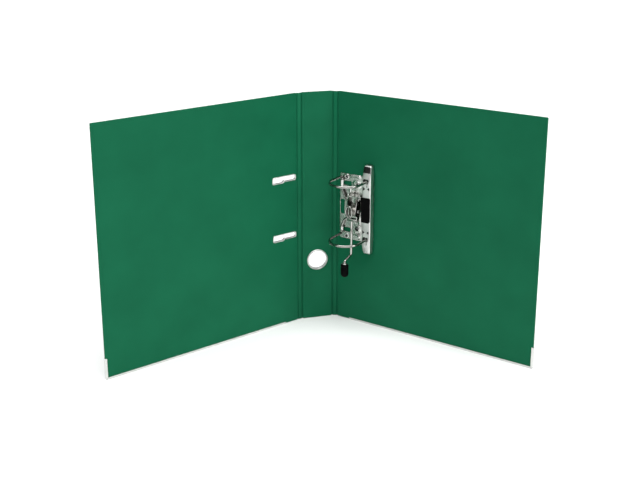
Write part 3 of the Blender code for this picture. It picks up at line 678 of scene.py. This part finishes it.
def make_slot(name):
    """A pressed eyelet with a rolled flange round the slot, and its flat backing frame outside."""
    low, high = extent(f"slot_eyelet_{name}")
    path = slot_path(low, high)
    top = high.z
    section = [(0, low.z), (0, top - 0.3), (-0.12, top - 0.08), (-0.35, top), (-0.7, top), (-0.98, top - 0.1)]
    section += [(-SLOT_FLANGE, top - 0.38), (-0.8, top - 0.42), (-0.4, top - 0.46), (-0.38, low.z)]
    bm = bmesh.new()
    sweep(bm, path, section, closed=True)
    piece(f"slot_eyelet_{name}_pressed", bm, "bright_trim", [f"slot_eyelet_{name}"], 50, panel="front")
    low, high = extent(f"slot_backing_{name}")
    bm = bmesh.new()
    section = [(-0.5, high.z), (-0.5, low.z + 0.12), (-0.6, low.z), (-1.0, low.z)]
    section += [(-SLOT_FLANGE, low.z + 0.12), (-SLOT_FLANGE, high.z)]
    sweep(bm, path, section, closed=True)
    piece(f"slot_backing_{name}_pressed", bm, "bright_trim", [f"slot_backing_{name}"], 50, panel="front")


def slot_tools():
    """Cutters that clear the foil from both slots, a little wider than the eyelets' necks."""
    tools = []
    for name in ("upper", "lower"):
        low, high = extent(f"slot_eyelet_{name}")
        outline = slot_path(low, high, grow=0.55)
        tools.append(prism_tool(f"slot_clearance_{name}", outline, low.z - 2, high.z + 2, panel="front"))
    return tools


def finger_ring_tools():
    low, high = extent("finger_ring")
    return [bore_tool("finger_hole", (low + high) / 2, 13.5, 8, panel="spine", sides=96)]


def rivet_tools():
    tools = []
    for name in RIVETS:
        low, high = extent(f"rivet_{name}")
        tools.append(bore_tool(f"hole_{name}", (low + high) / 2, 2.8, 8))
    return tools


def make_finger_ring():
    """The eyelet's tube flares into a rolled flange outside, and a domed ring clips over it inside."""
    low, high = extent("finger_ring")
    centre = ((low.x + high.x) / 2, (low.y + high.y) / 2, 0)
    reach = (high.x - low.x) / 2
    bore = reach - FINGER_FLANGE
    outer = [(bore, low.z + 0.5), (bore + 0.5, low.z), (reach - 0.5, low.z), (reach, low.z + 0.35)]
    outer += [(reach, low.z + 0.7), (bore + 0.6, low.z + 0.6), (bore + 0.6, high.z - 0.1)]
    outer += [(bore + 0.3, high.z), (bore, high.z - 0.15)]
    bm = turned(round_corners(outer, 0.25), centre, (0, 0, 1), 96)
    piece("finger_ring_eyelet", bm, "bright_trim", ["finger_ring"], panel="spine")
    low, high = extent("finger_ring_washer")
    inner = [(bore + 0.7, low.z), (reach, low.z), (reach, low.z + 0.35), (reach - 0.45, high.z - 0.1)]
    inner += [(reach - 0.8, high.z + 0.08), (bore + 0.9, high.z)]
    bm = turned(round_corners(inner, 0.3), centre, (0, 0, 1), 96)
    piece("finger_ring_collar", bm, "bright_trim", ["finger_ring_washer"], panel="spine")


def make_label():
    """A clear film pocket welded down its sides, with a thumb cut at its open top and a blank card inside."""
    low, high = extent("spine_label_pocket")
    profile = slab_profile(low.z, high.z, 0.2, 0.05)
    room_low, room_high = low.xy + Vector((2.2, 2.2)), Vector((high.x - 2.2, high.y + 4))
    middle = (low.z + high.z) / 2
    room = slab(room_low, room_high, 0.8, [(0, middle - 0.25), (0, middle + 0.3)])
    thumb = bore_tool("thumb_cut", (0, high.y + 3, low.z), 9.0, middle - low.z, panel="spine", sides=64)
    tools = [raw("pocket_room", room, "spine"), thumb]
    body = slab(low, high, 1.5, profile)
    part = piece("spine_label_film", body, "label_pocket", ["spine_label_pocket"], tools=tools, panel="spine")
    part.visible_shadow = False
    low, high = extent("spine_label")
    card = slab(low, high, 1.0, slab_profile(low.z, high.z, 0.05, 0.05))
    piece("spine_label_card", card, "label_paper", ["spine_label"], panel="spine")


# ------------------------ mechanism


def ridge(along, across, half_length, half_width, height):
    """The height of a long pressed ridge with soft sides, at a place measured from its middle."""
    over = max(abs(along) - half_length + half_width, 0.0)
    distance = math.hypot(over, across) / half_width
    t = min(max(1.6 * (1 - distance), 0.0), 1.0)
    return height * t * t * (3 - 2 * t)


def plate_height(x, y, low, high, mid):
    """The pressed plate's upper face: rolled-down edges, two cross ridges, two bosses and three ribs."""
    edge = min(x - low.x, high.x - x, y - low.y, high.y - y)
    drop = max(0.0, 1 - edge / 1.4) ** 2 * 0.5
    rise = 0.0
    for sign in (1, -1):
        rise = max(rise, ridge(x - 27.6, y - mid - sign * 41.8, 8.6, 2.6, 0.9))
        boss = math.hypot(x - 30.5, y - mid - sign * 31.0)
        rise = max(rise, 0.35 * min(max((6.4 - boss) / 1.2, 0.0), 1.0))
    slant = (x - 31.0) * 0.82 - (y - (mid - 38.5)) * 0.57
    across = (x - 31.0) * 0.57 + (y - (mid - 38.5)) * 0.82
    rise = max(rise, ridge(slant, across, 4.6, 1.1, 0.6))
    rise = max(rise, ridge(y - mid + 16.0, x - 35.0, 9.0, 1.2, 0.5))
    rise = max(rise, ridge(y - mid - 22.0, x - 20.2, 5.5, 1.1, 0.45))
    return rise - drop


def add_plate_sheet(bm, low, high, bottom, top, mid):
    """A closed sheet whose upper face follows plate_height, and its underside the ridges less far."""
    columns, rows = 84, 156
    xs = [low.x + (high.x - low.x) * i / columns for i in range(columns + 1)]
    ys = [low.y + (high.y - low.y) * i / rows for i in range(rows + 1)]
    sheets = []
    for base, share, floor in ((bottom, 0.6, 0.0), (top, 1.0, -0.4)):
        grid = []
        for x in xs:
            heights = [plate_height(x, y, low, high, mid) * share for y in ys]
            grid.append([bm.verts.new((x, y, base + max(h, floor))) for y, h in zip(ys, heights)])
        sheets.append(grid)
    for grid in sheets:
        bridge(bm, grid, closed=False)
    under, over = sheets
    border = [(0, j) for j in range(rows)] + [(i, rows) for i in range(columns)]
    border += [(columns, j) for j in range(rows, 0, -1)] + [(i, 0) for i in range(columns, 0, -1)]
    rings = [[grid[i][j] for i, j in border] for grid in (under, over)]
    bridge(bm, rings)


def make_base_plate():
    """Pressed plate with rolled rims, windows, curled bearings and the lever's two ears."""
    low, high = extent("base_plate")
    pivot, arch = joint_place("lever_lift"), joint_place("arch_open")
    mid = arch.y
    bottom, top = low.z, low.z + 1.0
    bm = bmesh.new()
    add_plate_sheet(bm, low.xy, high.xy, bottom, top, mid)
    plate = raw("base_plate_pressed", bm)
    outline = prism_tool("plate_outline", rounded_outline(low.xy, high.xy, 4.0, 0.02), -5, 9)
    carve(plate, [outline], "INTERSECT")
    windows = {
        "upper": ((15.5, mid + 30.5), (13.0, 6.0)),
        "lower": ((14.8, mid - 34.5), (11.5, 6.0)),
        "side": ((8.0, mid - 3.0), (6.0, 20.0)),
        "under_bar": ((50.2, mid), (8.6, 66.0)),
    }
    tools = []
    for name, (centre, size) in windows.items():
        reach = Vector(size) / 2
        corners = (Vector(centre) - reach, Vector(centre) + reach)
        tools.append(flared_tool(f"window_{name}", *corners, 1.2, bottom, top, 0.35))
    carve(plate, tools + rivet_tools())
    joined = [ear(f"ear_{x}", pivot, pivot.x + x, bottom + 0.3) for x in (-EAR_OFFSET, EAR_OFFSET)]
    for name, start, end in (("lower", 129.8, 134.5), ("upper", 191.0, 200.2)):
        joined.append(curl(f"bearing_{name}", arch, start, end))
    carve(plate, joined, "UNION")
    carve(plate, [bore_tool("pivot_bore", pivot, PIN_BORE, 12, (1, 0, 0))])
    mount(plate, "nickel_plate", ["base_plate"], smooth=38)


def ear(name, pivot, x, foot):
    """An upright ear with a round top and rounded edges, on a foot that spreads into the plate."""
    radius, soft = 4.6, 0.22
    outline = arc(pivot.yz, radius, range(0, 181, 12))
    outline += [(pivot.y - radius - 0.3, foot + 2.2), (pivot.y - radius - 0.9, foot + 1.0)]
    outline += [(pivot.y - 6.5, foot), (pivot.y + 6.5, foot)]
    outline += [(pivot.y + radius + 0.9, foot + 1.0), (pivot.y + radius + 0.3, foot + 2.2)]
    middle = Vector((pivot.y, (pivot.z + foot) / 2))
    edge = [(-0.5, soft), (-0.43, 0.07), (-0.5 + soft, 0)]
    edge += [(-offset, inset) for offset, inset in edge[::-1]]
    bm = bmesh.new()
    rings = []
    for offset, inset in edge:
        moved = [p + (middle - p).normalized() * inset for p in (Vector(q) for q in outline)]
        rings.append([bm.verts.new((x + offset, p.x, p.y)) for p in moved])
    shell(bm, rings)
    return raw(name, bm)


def curl(name, arch, start, end):
    """A bearing curled from the plate's edge round the arch wire."""
    profile = [(2.0, start), (2.9, start), (2.9, end), (2.0, end)]
    return raw(name, turned(round_corners(profile, 0.25), (arch.x, 0, arch.z), (0, 1, 0), 48))


def make_rivets():
    """Tubular rivets: a domed, rolled head on the plate and a rolled foot outside the cover."""
    for name in RIVETS:
        low, high = extent(f"rivet_{name}")
        centre = ((low.x + high.x) / 2, (low.y + high.y) / 2, 0)
        head = high.z - 0.95
        profile = [(1.8, high.z - 0.9), (2.0, high.z - 0.2), (2.5, high.z), (3.1, high.z - 0.1)]
        profile += [(3.7, high.z - 0.45), (3.9, head + 0.15), (3.8, head), (2.6, head), (2.6, low.z + 0.6)]
        profile += [(3.9, low.z + 0.6), (3.9, low.z + 0.35), (3.3, low.z), (2.3, low.z), (1.8, low.z + 0.5)]
        bm = turned(round_corners(profile, 0.25), centre, (0, 0, 1), 56)
        rivet = piece(f"tubular_rivet_{name}", bm, "nickel_plate", [f"rivet_{name}"])
        # painted shade in each rivet's bore; on the lower leaf-side rivet it spreads wider, over the inner
        # part of its head
        dark = 2.9 if name == "leaf_side_lower" else 2.0
        paint_shade_and_reflection(rivet, lambda place, way: math.dist(place.xy, centre[:2]) < dark)


def ring_point(angle, y, arch_x):
    """A place on a ring's upper half; 0 degrees is over its post and 180 over the arch's own foot."""
    x, z = arc((arch_x + RING_RADIUS, RING_SPRING_LINE), RING_RADIUS, [angle])[0]
    return Vector((x, y, z))


def make_posts():
    """Fixed posts with a riveted collar at the foot and a cupped, bent top."""
    arch = joint_place("arch_open")
    x = arch.x + 2 * RING_RADIUS
    for name, sign in (("upper", 1), ("lower", -1)):
        low, _ = extent(f"post_{name}")
        y = arch.y + sign * RING_PITCH / 2
        foot = low.z
        path = [Vector((x, y, foot + rise)) for rise in (0, 0.15, 0.9, 1.15, 1.3, 1.6, 2.1)]
        radii = [3.0, 3.2, 3.2, 3.0, 2.4, 1.9, WIRE]
        bends = [ring_point(RING_JOINT_ANGLE * i / 8, y, arch.x) for i in range(9)]
        bm = bmesh.new()
        add_tube(bm, path + bends, radii + [WIRE] * 8 + [WIRE - 0.12])
        along = (bends[-1] - bends[-2]).normalized()
        cup = [(0, -1.5), (0.8, -1.5), (1.35, 0.2), (0, 0.2)]
        socket = raw("socket", turned(cup, bends[-1], along, 32))
        piece(f"fixed_post_{name}", bm, "drawn_wire", [f"post_{name}"], smooth=50, tools=[socket])


def make_arches():
    """Both arches and the crank between them: one bent wire with conical tips."""
    arch = joint_place("arch_open")
    x, z = arch.x, arch.z
    low, high = arch.y - RING_PITCH / 2, arch.y + RING_PITCH / 2
    crank = x + 17.0
    first, steps = RING_JOINT_ANGLE + 0.9, 44
    angles = [first + (180 - first) * i / steps for i in range(steps + 1)]
    run = [
        (x, low, RING_SPRING_LINE - 1),
        (x, low, z),
        (x, 136.0, z),
        (x + 3.5, 144.5, z),
        (crank, 154.0, z),
        (crank, 164.5, z),
        (x + 5.0, 176.0, z),
        (x, 187.5, z),
        (x, high, z),
        (x, high, RING_SPRING_LINE - 1),
    ]
    middle = filleted_path(run, (4.0, 6.0, 5.0, 2.6, 2.6, 6.0, 8.0, 4.0))
    path = [ring_point(a, low, x) for a in angles] + middle + [ring_point(a, high, x) for a in angles[::-1]]
    radii = [0.35, 0.56, 0.72] + [WIRE] * len(path) + [0.72, 0.56, 0.35]
    tips = []
    for y in (low, high):
        tip = ring_point(first, y, x)
        along = (tip - ring_point(first + 1, y, x)).normalized()
        tips.append([tip + along * 1.15, tip + along * 0.5, tip + along * 0.08])
    bm = bmesh.new()
    add_tube(bm, tips[0] + path + tips[1][::-1], radii)
    piece("arch_wire_bent", bm, "drawn_wire", ["arch_wire"], smooth=50)


def headed_pin(name, node_name, shank):
    """A pin across the mechanism with a domed, riveted head at each end."""
    low, high = extent(node_name)
    centre = (0, (low.y + high.y) / 2, (low.z + high.z) / 2)
    head = (high.y - low.y) / 2
    rise = 0.9 if shank > 1.3 else 0.7
    profile = [(0, low.x), (head * 0.55, low.x + rise * 0.1), (head * 0.85, low.x + rise * 0.4)]
    profile += [(head, low.x + rise * 0.8), (head, low.x + rise), (shank, low.x + rise)]
    profile += [(r, low.x + high.x - h) for r, h in reversed(profile)]
    bm = turned(profile, centre, (1, 0, 0), 48)
    piece(name, bm, "nickel_plate", [node_name], smooth=50)


def cheek_outline(pivot, roller):
    """The yoke's side in (y, z): a boss round the pivot, a disc behind the roller and a short tail."""
    tail = YOKE_TAIL
    outline = arc(pivot.yz, 4.2, range(-90, 91, 10)) + arc(roller.yz, CHEEK_RADIUS, range(90, 166, 8))
    outline += [(tail + 2.1, 15.9), (tail + 1.0, 15.6), (tail + 0.3, 15.1), (tail, 14.4)]
    outline += [(tail, 10.6), (tail + 0.3, 9.9), (tail + 1.0, 9.4), (tail + 2.1, 9.0)]
    return outline + arc(roller.yz, CHEEK_RADIUS, range(208, 271, 8))


def make_yoke():
    """Two cheeks joined by a bridge, folded from one strip, with the wire loop over the roller."""
    pivot, roller = joint_place("lever_lift"), joint_place("roller_spin")
    low, high = extent("lever_yoke")
    bridge_end = YOKE_TAIL + 3.9
    room = [(bridge_end, -20), (high.y + 10, -20), (high.y + 10, 40), (bridge_end, 40)]
    tools = [
        prism_tool("yoke_room", room, low.x + 1, high.x - 1, sideways),
        bore_tool("yoke_pivot_bore", pivot, PIN_BORE, 9, (1, 0, 0)),
        bore_tool("yoke_roller_bore", roller, 1.5, 9, (1, 0, 0)),
        bore_tool("yoke_rod_bore", (ROD_X, YOKE_TAIL + 1.5, 12.0), WIRE + 0.3, 4, (0, 1, 0), sides=32),
    ]
    yoke = raw("lever_yoke_folded", prism(cheek_outline(pivot, roller), low.x, high.x, sideways))
    carve(yoke, tools)
    carve(yoke, yoke_loop(roller, low.x), "UNION")
    mount(yoke, "polished_wire", ["lever_yoke"], smooth=45)


def yoke_loop(roller, left):
    """An oval wire loop with a bar across it, lying over the roller on a foot of the left cheek."""
    x, y, height, wire = 29.9, 162.6, 20.4, 0.8
    half_x, half_y = 4.7, 7.7
    path = [(x + half_x * a, y + half_y * b) for a, b in arc((0, 0), 1, range(0, 360, 6))]
    loop = bmesh.new()
    sweep(loop, path, arc((0, height), wire, range(0, 360, 30)), closed=True)
    corners = {
        "loop_foot": ((left, roller.y - 6.0, roller.z), (left + 1.0, roller.y + 3.0, height)),
        "loop_bar": ((x - 0.6, y - half_y, height - 0.4), (x + 0.6, y + half_y, height + 0.5)),
    }
    parts = [raw("loop", loop)]
    for name, (low, high) in corners.items():
        parts.append(prism_tool(name, rounded_outline(low, high, 0.3), low[2], high[2]))
    return parts


def make_rod():
    """The lever's rod, with its collar and the black cap that a thumb lifts."""
    low, high = extent("lever_rod")
    cap_low, cap_high = extent("lever_cap")
    cap_z, rod_z = (cap_low.z + cap_high.z) / 2, low.z + WIRE
    corners = [(high.y, rod_z), (100.8, rod_z), (96.2, cap_z), (low.y, cap_z)]
    corners = [(ROD_X, y, z) for y, z in corners]
    path = filleted_path(corners, (2.6, 2.6))
    bm = bmesh.new()
    add_tube(bm, path, [WIRE] * len(path))
    piece("lever_rod_bent", bm, "polished_wire", ["lever_rod"], smooth=50)
    collar_low, collar_high = extent("lever_collar")
    start, end = collar_low.y, collar_high.y
    collar = [(2.0, start), (3.0, start), (3.3, start + 0.4), (3.3, end - 0.4), (2.9, end), (2.0, end)]
    centre = (ROD_X, 0, cap_z)
    bm = turned(round_corners(collar, 0.3), centre, (0, 1, 0), 48)
    piece("lever_collar_turned", bm, "polished_wire", ["lever_collar"])
    radius = (cap_high.x - cap_low.x) / 2
    bottom, top = cap_low.y, cap_high.y
    cap = [(2.0, top), (radius - 0.6, top), (radius - 0.15, top - 0.3), (radius, top - 0.8)]
    cap += [(radius, top - 2.6), (radius - 0.22, top - 2.8), (radius - 0.22, top - 3.2), (radius, top - 3.4)]
    cap += [(radius, bottom + 5.4)]
    cap += [(radius * a ** 0.9, bottom + 5.4 * (1 - b)) for a, b in arc((0, 0), 1, range(8, 90, 8))]
    cap += [(0, bottom), (0, low.y - 0.4), (2.0, low.y - 0.4)]
    bm = turned(cap, centre, (0, 1, 0), 56)
    piece("lever_cap_moulded", bm, "black_plastic", ["lever_cap"], smooth=50)


def make_roller():
    """A turned steel roller with recessed faces and softened rims."""
    low, high = extent("roller")
    centre = joint_place("roller_spin")
    half, radius = (high.x - low.x) / 2, (high.y - low.y) / 2
    side = [(1.5, half - 0.1), (2.9, half - 0.1), (3.1, half), (3.6, half)]
    side += [(3.9, half - 0.35), (5.6, half - 0.35), (5.9, half)]
    side += [(radius - 0.5, half), (radius - 0.12, half - 0.14), (radius, half - 0.5)]
    profile = side + [(r, -h) for r, h in reversed(side)]
    bm = turned(profile, centre, (1, 0, 0), 72)
    piece("roller_turned", bm, "drum_steel", ["roller"], smooth=50)


def bar_section(half_width, wall, low, top, corner):
    """Half-round shoulders over straight sides, in (x, z), from the left foot to the right one."""
    half, radius = half_width - wall, max(corner - wall * 0.7, 0.3)
    height = top - wall - radius
    left = arc((radius - half, height), radius, range(180, 89, -18))
    right = arc((half - radius, height), radius, range(90, -1, -18))
    return [(-half, low), *left, *right, (half, low)]


def bar_block(low, high, wall, foot):
    """A long block with narrower ends that slope down: the bar's outside with wall 0, else its inside."""
    centre = (low + high) / 2
    half_length, half_width = (high.y - low.y) / 2, (high.x - low.x) / 2
    stations = ((0.0, 1.9, 4.6), (0.5, 1.5, 3.5), (1.4, 1.1, 2.7), (3.0, 0.8, 1.95), (6.0, 0.55, 1.25))
    stations += ((9.5, 0.28, 0.6), (12.5, 0.1, 0.2), (15.0, 0.0, 0.0), (18.0, 0.0, 0.0))
    bm = bmesh.new()
    rings = []
    for sign in (-1, 1):
        for at, narrower, drop in stations if sign < 0 else reversed(stations):
            y = centre.y + sign * (half_length - at - (wall if at < 0.1 else 0))
            section = bar_section(half_width - narrower, wall, foot, high.z - drop, 1.5)
            rings.append([bm.verts.new((centre.x + x, y, z)) for x, z in section])
    shell(bm, rings)
    return bm


def paint_bar_shade_and_reflection(bar, low, high):
    """Paint shade on the bar's inside and a dark reflection on the slope at its upper end."""
    middle, tip, slope = (low.x + high.x) / 2, 1.5, 11

    def inside(place, way):
        inward = (place.x - middle) * way.x <= 0
        return way.z < 0.5 and inward and low.y + tip < place.y < high.y - tip

    # painted shade on the inner walls of the bar's channel
    paint_shade_and_reflection(bar, inside)
    # painted dark reflection on the upward-facing slope at the bar's upper end
    paint_shade_and_reflection(bar, lambda place, way: place.y > high.y - slope and 0.05 < way.y < 0.6 and way.z > 0.75)


def make_compressor():
    """The bar that holds the sheets down: post holes, slits beside them and arrow holes."""
    low, high = extent("compressor_bar")
    arch = joint_place("arch_open")
    post_x = arch.x + 2 * RING_RADIUS
    middle = (low.x + high.x) / 2
    tools = [raw("bar_inside", bar_block(low, high, BAR_WALL, low.z - 3))]
    for sign in (1, -1):
        y = arch.y + sign * RING_PITCH / 2
        hole = rounded_outline((post_x - 5.8, y - 3.5), (post_x + 2.4, y + 3.5), 2.6)
        tools.append(prism_tool(f"bar_post_hole_{sign}", hole, high.z - 5, high.z + 5))
        notch = rounded_outline((post_x - 0.7, y - 7.5), (post_x + 0.7, y - 4.5), 0.4)
        tools.append(prism_tool(f"bar_notch_{sign}", notch, high.z - 5, high.z + 5))
        for x, point in ((middle - 3.7, 1), (middle + 2.9, -1)):
            at = arch.y + sign * 30
            foot, tip = x - point * 1.6, x + point * 2.1
            arrow = [(foot, at - 2.5), (tip, at), (foot, at + 2.5)]
            tools.append(prism_tool(f"bar_arrow_{sign}_{point}", arrow, high.z - 5, high.z + 5))
    block = bar_block(low, high, 0.0, low.z)
    bar = piece("compressor_bar_pressed", block, "bright_trim", ["compressor_bar"], 35, tools)
    # painted shade inside the bar and a painted dark reflection on its upper slope
    paint_bar_shade_and_reflection(bar, low, high)
    make_grip(low, high)


def make_grip(bar_low, bar_high):
    """A moulded saddle over the bar, with soft edges and one cut corner."""
    low, high = extent("compressor_grip")
    cut = 2.4
    outline = [(low.x, low.y), (high.x - cut, low.y), (high.x, low.y + cut), high.xy, (low.x, high.y)]
    outline = round_corners(outline, 1.0, 5)
    middle = (low + high) / 2

    def toward(at, centre, inset):
        return at - math.copysign(inset, at - centre)

    def inset_outline(inset):
        return [(toward(x, middle.x, inset), toward(y, middle.y, inset)) for x, y in outline]

    bm = bmesh.new()
    add_slab(bm, inset_outline, slab_profile(low.z, high.z, 0.15, 0.7))
    grip = raw("compressor_grip_moulded", bm)
    section = bar_section((bar_high.x - bar_low.x) / 2 + 0.3, 0.0, bar_low.z - 5, bar_high.z + 0.3, 1.5)
    points = [((bar_low.x + bar_high.x) / 2 + x, z) for x, z in section]
    saddle = prism_tool("saddle", points, low.y - 5, high.y + 5, lambda x, y, z: (x, z, y))
    carve(grip, [saddle])
    mount(grip, "black_plastic", ["compressor_grip"], smooth=45)


def finish_boards():
    for name in ("spine", "front", "back"):
        board = frame["nodes"][f"{name}_board"]
        board.data.materials.clear()
        board.data.materials.append(MATERIALS["grey_board"])


# ------------------------ studio


def make_floor():
    material, tree, shader, _ = start_material("studio_floor")
    feed(tree, shader, {"Base Color": (0.93, 0.93, 0.93, 1.0), "Roughness": 0.8})
    bm = bmesh.new()
    reach = 14.0
    corners = [(-reach, -reach), (reach, -reach), (reach, reach), (-reach, reach)]
    bm.faces.new([bm.verts.new((x, y, 0)) for x, y in corners])
    mesh = bpy.data.meshes.new("floor")
    bm.to_mesh(mesh)
    bm.free()
    mesh.materials.append(material)
    floor = bpy.data.objects.new("floor", mesh)
    bpy.context.collection.objects.link(floor)


def make_camera():
    """A camera left of the file's middle and above it, looking down and to the right."""
    focal_px, frame_px = 968.9, 640.0
    pitch, yaw = math.radians(15.46), math.radians(15.28)
    camera = bpy.data.cameras.new("camera")
    camera.sensor_width = 36.0
    camera.lens = focal_px / frame_px * camera.sensor_width
    camera.shift_y = -0.125
    eye = bpy.data.objects.new("camera", camera)
    bpy.context.collection.objects.link(eye)
    eye.location = (-0.3225, -1.19565, 0.5678)
    eye.rotation_euler = (math.radians(90) - pitch, 0, -yaw)
    bpy.context.scene.camera = eye


def place_light(name, lamp, place, aim):
    light = bpy.data.objects.new(name, lamp)
    bpy.context.collection.objects.link(light)
    light.location = place
    light.rotation_mode = "QUATERNION"
    light.rotation_quaternion = (Vector(aim) - Vector(place)).to_track_quat("-Z", "Y")


def softbox(name, place, aim, size, power):
    lamp = bpy.data.lights.new(name, "AREA")
    lamp.shape = "DISK"
    lamp.size = size
    lamp.energy = power
    place_light(name, lamp, place, aim)


def make_lights():
    """A dim grey room, a broad overhead light that whitens the floor and a softbox on each side."""
    world = bpy.data.worlds.new("studio")
    world.use_nodes = True
    tree = world.node_tree
    toward = node(tree, "ShaderNodeTexCoord").outputs["Generated"]
    height = node(tree, "ShaderNodeSeparateXYZ", {"Vector": toward}).outputs["Z"]
    room = ramp(tree, height, [(0.0, 0.2), (0.9, 0.5)])
    feed(tree, tree.nodes["Background"], {"Color": room})
    bpy.context.scene.world = world
    aim = (0, -0.05, 0.16)
    overhead = bpy.data.lights.new("overhead", "SUN")
    overhead.energy = 3.0
    overhead.angle = math.radians(60)
    place_light("overhead", overhead, (-0.15, -0.6, 3.0), aim)
    softbox("softbox_right", (1.5, -1.5, 1.3), aim, 0.8, 19)
    softbox("softbox_left", (-1.6, -1.0, 1.5), aim, 0.5, 2)
    bpy.context.scene.view_settings.view_transform = "Standard"


# ------------------------ everything


make_camera()
make_lights()
make_floor()
make_panel_skins("spine", "spine", finger_ring_tools)
make_panel_skins("front", "front", slot_tools)
make_panel_skins("back", "back", rivet_tools)
finish_boards()
make_hinge("front", -1)
make_hinge("back", 1)
make_protector("front", -1, "front")
make_protector("back", 1, "back")
make_slot("upper")
make_slot("lower")
make_finger_ring()
make_label()
make_base_plate()
make_rivets()
make_posts()
make_arches()
headed_pin("lever_pivot_pin_riveted", "lever_pivot_pin", 1.4)
headed_pin("roller_pin_riveted", "roller_pin", 1.2)
make_yoke()
make_rod()
make_roller()
make_compressor()
